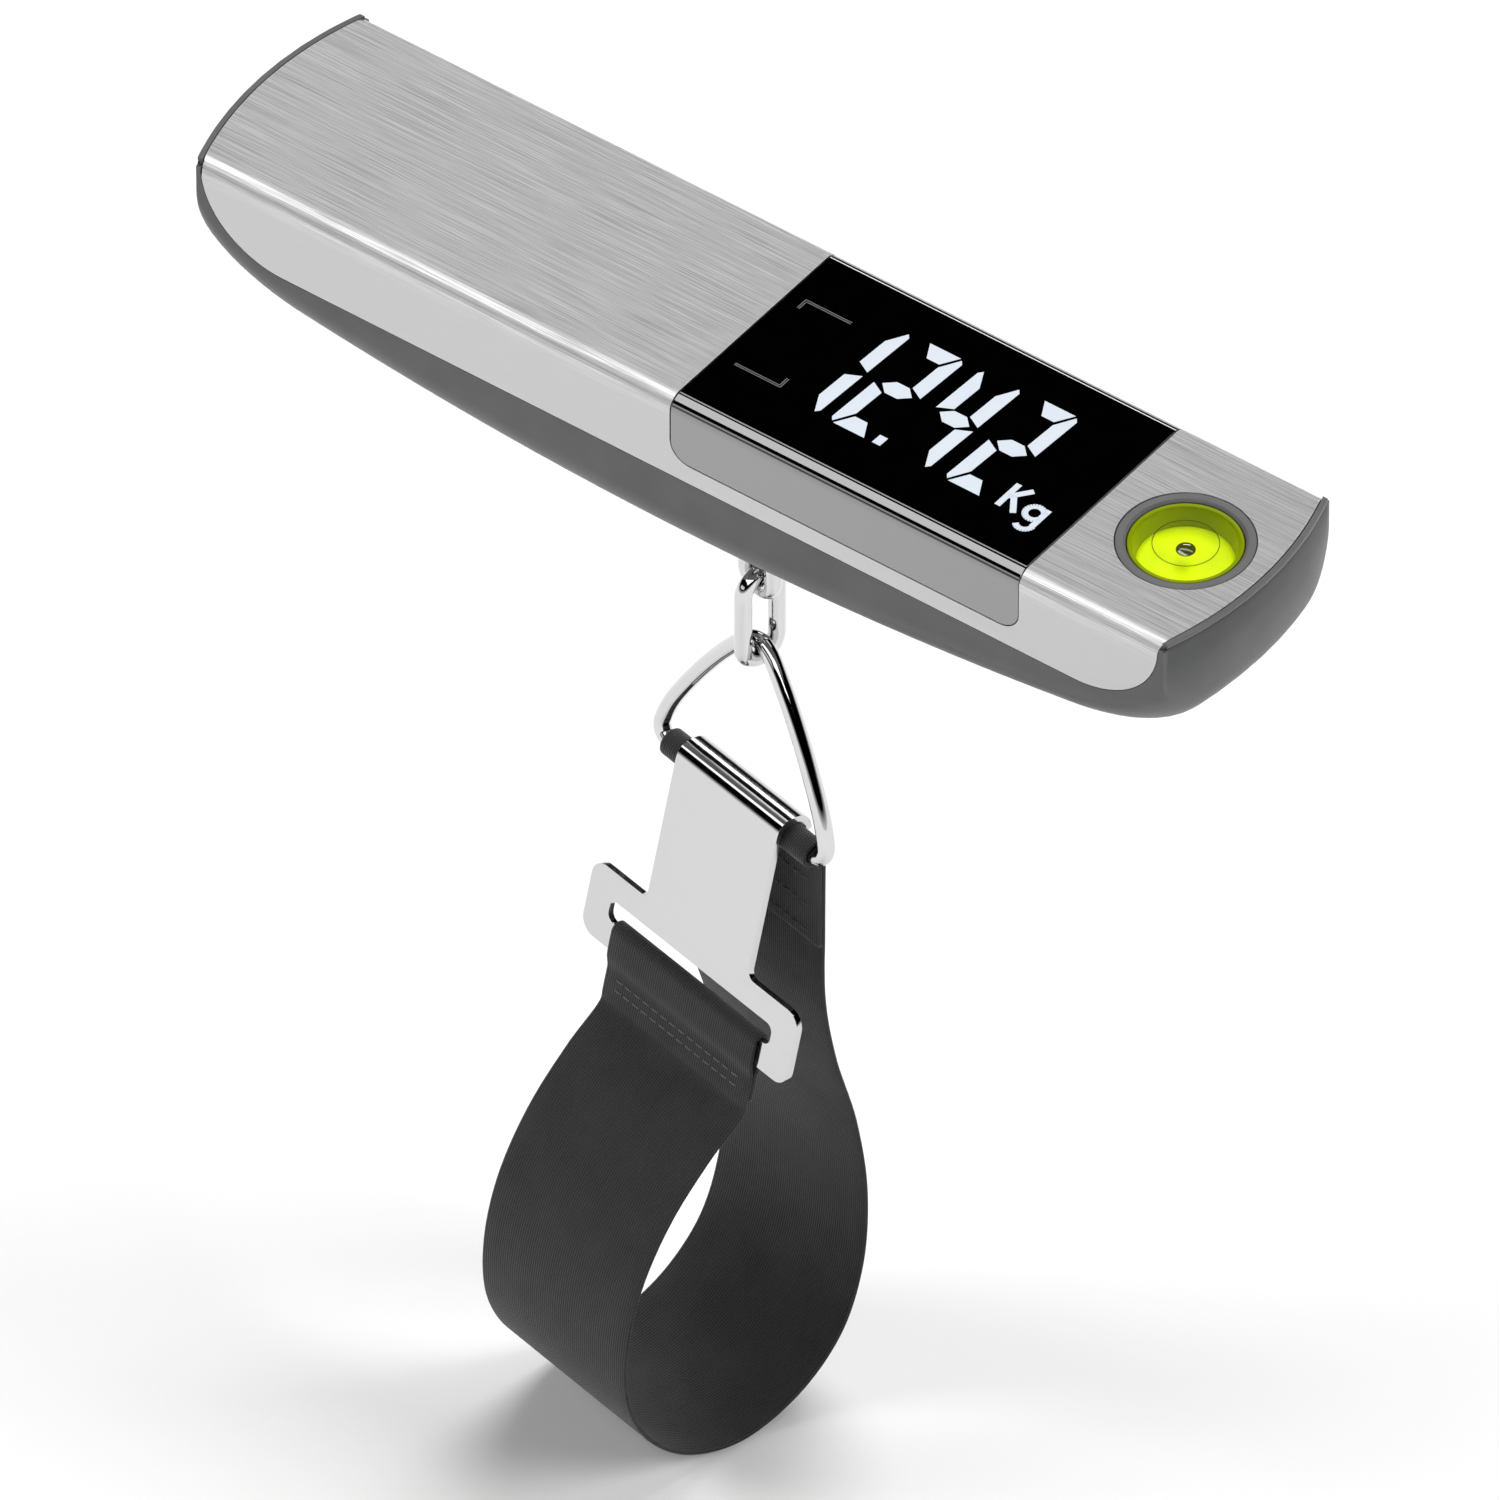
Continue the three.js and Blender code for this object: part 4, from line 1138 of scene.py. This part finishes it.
def make_eye():
    outline = racetrack(EYE_HALF_WIDTH, EYE_TOP, EYE_BOTTOM + EYE_HALF_WIDTH)
    track = even([hanging(a, 0, z) for a, z in outline], LOOP_STEPS, True)
    loop = wire_loop("eye_loop", track, HANG @ Vector((0, 1, 0)))
    neck = EYE_TOP + EYE_HALF_WIDTH
    profile = [(0, neck - 1.1), (1.2, neck - 0.9), (1.7, neck - 0.5), (COLLAR_RADIUS, neck - 0.3)]
    profile += [(COLLAR_RADIUS, -29.7), (2.8, -29.6), (SHANK_RADIUS, -29.6), (SHANK_RADIUS, -8)]
    profile += [(1.8, SHANK_TOP), (0, SHANK_TOP)]
    shank = lathe("shank", profile, 0, 0, 48)
    eye = soften(merge(loop, shank))
    dress(eye, "chrome", "eye", "chrome", "swivel_eye")


def make_link():
    outline = racetrack(LINK_HALF_WIDTH, LINK_TOP, LINK_BOTTOM)
    track = even([hanging(0, a, z) for a, z in outline], LOOP_STEPS, True)
    link = smooth(wire_loop("wire_link", track, HANG @ Vector((1, 0, 0))))
    dress(link, "chrome", "link", "chrome", "chain_link")


def ring_knots():
    """Knots of the D-ring's line from its apex, round the bar and back: (across, down) pairs."""
    corner = RING_CORNER
    wide = RING_HALF_WIDTH
    side = [
        (2, 0.8), (5.4, 4.6), (9.2, 9.9), (12.4, 15.1), (14.8, 19.6), (15.95, 22.8),
        (wide, RING_HEIGHT - corner), (wide - 0.51, RING_HEIGHT - 0.56),
        (wide + 0.05 - corner, RING_HEIGHT), (10.5, RING_HEIGHT), (5.5, RING_HEIGHT),
    ]
    return [(0, 0)] + side + [(0, RING_HEIGHT)] + [(-u, d) for u, d in reversed(side)]


def make_ring():
    c, s = cos(RING_TILT), sin(RING_TILT)
    knots = [hanging(u, -d * s, RING_APEX - d * c) for u, d in ring_knots()]
    normal = HANG @ Vector((0, c, -s))
    ring = smooth(wire_loop("wire_ring", spline(knots, 260, True), normal))
    dress(ring, "chrome", "ring", "chrome", "d_ring")


# ---- hook ----

def hook_outline():
    neck = NECK_HALF_WIDTH + NECK_FILLET
    ear = FRAME_HALF_WIDTH - EAR_RADIUS
    right = (
        [(NECK_HALF_WIDTH, 0)]
        + arc(neck, -SHOULDER + NECK_FILLET, NECK_FILLET, pi, 1.5 * pi, 10)
        + arc(ear, -SHOULDER - EAR_RADIUS, EAR_RADIUS, QUARTER, 0, 14)
        + arc(ear, -FRAME_END + EAR_RADIUS, EAR_RADIUS, 0, -QUARTER, 14)
    )
    return right + [(-x, z) for x, z in reversed(right)]


def slot_outline():
    end = SLOT_HALF_WIDTH - SLOT_CORNER
    right = arc(end, -SLOT_BOTTOM + SLOT_CORNER, SLOT_CORNER, -QUARTER, 0, 10)
    right += arc(end, -SLOT_TOP - SLOT_CORNER, SLOT_CORNER, 0, QUARTER, 10)
    return right + [(-x, z) for x, z in reversed(right)]


def roll_section():
    """The plate's curl over the bar: square-shouldered at the front and round at the back."""
    outer = []
    for i in range(61):
        a = pi + (ROLL_LIP - pi) * i / 60
        c, s = cos(a), sin(a)
        power = 3 if c < 0 else 2
        reach = (abs(c) ** power + abs(s) ** power) ** (-1 / power)
        outer.append(Vector(((ROLL_INNER + PLATE) * c * reach, ROLL_TOP * s * reach)))
    outer = [Vector((outer[0].x, -1))] + outer
    inner = []
    for i, place in enumerate(outer):
        along = outer[min(i + 1, len(outer) - 1)] - outer[max(i - 1, 0)]
        inner.append(place + Vector((along.y, -along.x)).normalized() * PLATE)
    return [tuple(p) for p in outer + inner[::-1]]


def make_hook():
    plate = prism("hook_body", hook_outline(), "y", -ROLL_INNER - PLATE, -ROLL_INNER)
    cut(plate, prism("slot", slot_outline(), "y", -9, 9))
    roll = prism("roll", roll_section(), "x", -NECK_HALF_WIDTH, NECK_HALF_WIDTH)
    combine(plate, roll, "UNION")
    soften(plate, 0.16, 3, 38)
    tilt_plate(plate)
    dress(plate, "hook", "hook", "hook_chrome", "hook_plate")


# ---- webbing ----

def web_line():
    """Middle line of the whole tape: sewn patch, turn round the bar, loop, and sleeve on the hook."""
    patch = [(PATCH_Y, PATCH_END), (PATCH_Y, -90), (PATCH_Y, -84.5), (PATCH_Y - 0.06, -82.9)]
    turn = arc(BAR_Y, BAR_Z, WRAP, radians(-78), -2 * pi, 26)
    middle = PLATE_MIDDLE
    front = [(middle - 0.37, SEAM_END + 1.6), (middle - SLEEVE_GAP, SEAM_END)]
    front += [(middle - SLEEVE_GAP, 36), (middle - 0.4, 34.4), (middle - 0.9, 32.6)]
    front += [(middle - SLEEVE_TURN, 31), (middle - SLEEVE_TURN, 29.2)]
    angles = [radians(d) for d in range(165, 0, -15)]
    over = [(middle + SLEEVE_TURN * cos(a), SLEEVE_DOWN - SLEEVE_TURN * sin(a)) for a in angles]
    back = [(middle + SLEEVE_TURN, 29.2), (middle + SLEEVE_TURN, 31), (middle + 0.9, 32.6)]
    back += [(middle + 0.4, 34.4), (middle + SLEEVE_GAP, 36), (middle + SLEEVE_GAP, SEAM_END - 0.1)]
    sleeve = [on_plate(y, down) for y, down in front + over + back]
    knots = patch + turn + [(-1.24, -83.5)] + WEB_ROUTE + sleeve
    return spline([Vector((0, y, z)) for y, z in knots], 620)


def length_of(line):
    return sum((b - a).length for a, b in zip(line, line[1:]))


def tape_section():
    """Half the tape's section is flat and its two woven edges are round: (across, out) pairs."""
    half = WEB / 2
    edge = WEB_HALF_WIDTH - half
    flat = [edge * t / 6 for t in range(-6, 7)]
    upper = [(a, half) for a in flat]
    right = [(edge + half * sin(t), half * cos(t)) for t in (0.5, 1.05, QUARTER, 2.1, 2.64)]
    lower = [(a, -half) for a in reversed(flat)]
    left = [(-a, -b) for a, b in right]
    return upper + right + lower + left


def make_strap():
    line = web_line()
    section = tape_section()
    wide = len(section)
    points = []
    for i, place in enumerate(line):
        along = (line[min(i + 1, len(line) - 1)] - line[max(i - 1, 0)]).normalized()
        out = Vector((0, -along.z, along.y))
        points += [HANG @ (place + Vector((a, 0, 0)) + b * out) for a, b in section]
    strap = smooth(mesh_piece("webbing_tape", points, ring_faces(len(line), wide, False)))
    step = length_of(line) / (len(line) - 1)
    layer = strap.data.uv_layers.new(name="tape")
    for loop in strap.data.loops:
        row, column = divmod(loop.vertex_index, wide)
        layer.data[loop.index].uv = (section[column][0] * MM, row * step * MM)
    coat(strap, "web")
    cross_the_hook_joint(strap)
    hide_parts("strap", "strap_end")
    return strap, length_of(line)


def cross_the_hook_joint(piece):
    """Bakes the piece's transform into its mesh. The tape's top end sits on the ring's bar and its loop and
    sleeve on the hook, but neither part is tied to a body here.
    """
    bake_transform(piece)


def stitch(name, y, z, across, tangent, out):
    """One short raised stitch, pointed at both ends, across the tape."""
    points = []
    half = STITCH_LENGTH / 2
    for t, rise, wide in STITCH_SHAPE:
        middle = Vector((across + t * half, y, z)) + out * rise
        for a in range(STITCH_SIDES):
            turn = 2 * pi * a / STITCH_SIDES
            points.append(HANG @ (middle + wide * (cos(turn) * tangent + sin(turn) * out)))
    return mesh_piece(name, points, ring_faces(len(STITCH_SHAPE), STITCH_SIDES, False))


def stitch_row(name, y, z, tangent, out):
    count = int((2 * WEB_HALF_WIDTH - 2.4) / STITCH_PITCH)
    start = -STITCH_PITCH * (count - 1) / 2
    return [stitch(name, y, z, start + STITCH_PITCH * i, tangent, out) for i in range(count)]


def make_stitches():
    sleeve = []
    plate_out = Vector((0, -cos(HOOK_TILT), sin(HOOK_TILT)))
    plate_down = Vector((0, -sin(HOOK_TILT), -cos(HOOK_TILT)))
    for down in SLEEVE_ROWS:
        for offset, out in ((-SLEEVE_GAP - WEB / 2, plate_out), (SLEEVE_GAP + WEB / 2, -plate_out)):
            y, z = on_plate(PLATE_MIDDLE + offset, down)
            sleeve += stitch_row("sleeve_stitches", y, z, plate_down, out)
    patch = []
    for z in PATCH_ROWS:
        for y, side in ((PATCH_Y - WEB / 2, -1), (-1.26 + WEB / 2, 1)):
            patch += stitch_row("patch_stitches", y, z, Vector((0, 0, -1)), Vector((0, side, 0)))
    rows = []
    for stitches in (sleeve, patch):
        row = smooth(merge(*stitches))
        coat(row, "thread")
        cross_the_hook_joint(row)
        rows.append(row)
    return rows


# ---- studio ----

def make_camera():
    """Long lens, from the grip's level end and above."""
    azimuth = radians(CAMERA_AZIMUTH)
    elevation = radians(CAMERA_ELEVATION)
    back = Vector((
        sin(azimuth) * cos(elevation),
        -cos(azimuth) * cos(elevation),
        sin(elevation),
    ))
    right = Vector((cos(azimuth), sin(azimuth), 0))
    up = back.cross(right)
    data = bpy.data.cameras.new("camera")
    data.sensor_width = 36
    data.lens = CAMERA_LENS
    data.clip_start = 0.1
    data.clip_end = 50
    camera = new_object("camera", data)
    place = Matrix.Translation(back * CAMERA_DISTANCE - right * CAMERA_ACROSS + up * CAMERA_UP)
    camera.matrix_world = place @ Matrix((right, up, back)).transposed().to_4x4()
    bpy.context.scene.camera = camera


def area_light(name, place, target, size, power):
    """A soft box that lights only reflections. Places and sizes are in metres."""
    data = bpy.data.lights.new(name, "AREA")
    data.shape = "RECTANGLE"
    data.size, data.size_y = size
    data.energy = power
    light = new_object(name, data)
    light.location = place
    direction = Vector(target) - Vector(place)
    light.rotation_euler = direction.to_track_quat("-Z", "Y").to_euler()
    light.visible_diffuse = False


def sun_light(name, origin, width, strength):
    """Even light over the whole floor, left out of mirror reflections. width is in degrees."""
    data = bpy.data.lights.new(name, "SUN")
    data.angle = radians(width)
    data.energy = strength
    light = new_object(name, data)
    light.rotation_euler = (-Vector(origin)).to_track_quat("-Z", "Y").to_euler()
    light.visible_glossy = False


def make_floor():
    mesh = bpy.data.meshes.new("floor")
    z = CAD_LOW.z - 0.15 * MM
    corners = [(x * FLOOR_HALF, y * FLOOR_HALF, z) for x, y in ((-1, -1), (1, -1), (1, 1), (-1, 1))]
    mesh.from_pydata(corners, [], [(0, 1, 2, 3)])
    floor = new_object("floor", mesh)
    material, tree, shader = new_material("floor", Roughness=0.9, Specular_IOR_Level=0.1)
    grain = noise(tree, place_of(tree), 6.0, 2.0)
    paint(shader, grain, (0.90, 0.90, 0.90), (0.92, 0.92, 0.92))
    mesh.materials.append(material)


def make_world():
    """White to the eye, a weak fill on matt surfaces. Reflections see a light band at the horizon."""
    world = bpy.data.worlds.new("studio")
    world.use_nodes = True
    tree = world.node_tree
    path = add(tree, "LightPath")
    direction = add(tree, "TexCoord").outputs["Generated"]
    height = add(tree, "SeparateXYZ", {0: direction}).outputs["Z"]
    horizon = spread(tree, height, 0.02, 0.18, HORIZON_LIGHT, 0)
    shine = times(tree, path.outputs["Is Glossy Ray"], horizon)
    fill = times(tree, path.outputs["Is Diffuse Ray"], MATT_FILL)
    both = maths(tree, "ADD", fill, shine)
    strength = maths(tree, "MAXIMUM", path.outputs["Is Camera Ray"], both)
    background = tree.nodes["Background"]
    background.inputs["Color"].default_value = (1, 1, 1, 1)
    tree.links.new(strength, background.inputs["Strength"])
    bpy.context.scene.world = world


def make_studio():
    make_camera()
    make_floor()
    make_world()
    area_light("ceiling_box", (-0.15, -0.34, 0.82), (0, 0, -0.03), (1.5, 0.74), 6.4)
    area_light("back_strip", (-0.15, 0.72, 1.18), (0, 0, -0.05), (1.8, 0.24), 1.6)
    area_light("back_card", (-0.53, 0.94, 0.54), (0, 0, -0.05), (0.4, 0.14), 0.6)
    area_light("front_card", (-0.38, -1.25, 0.43), (0, 0, -0.05), (1.2, 0.26), 0.85)
    area_light("side_box", (0.80, -0.80, 0.85), (0, 0, -0.03), (0.9, 0.5), 3)
    sun_light("back_sun", (-0.12, 0.50, 0.78), 42, 2.15)
    sun_light("left_sun", (-0.68, -0.42, 0.50), 34, 1.65)
    sun_light("right_sun", (0.80, 0.32, 0.50), 32, 1.95)
    bpy.context.scene.view_settings.view_transform = "Standard"


make_studio()
dress_inner_pieces()
make_cover()
make_window()
make_reading()
make_touch_marks()
make_housing()
make_end_seam_shade()
make_door()
make_screws()
make_bush()
make_level()
make_eye()
make_link()
make_ring()
make_hook()
strap, strap_length = make_strap()
stitches = make_stitches()
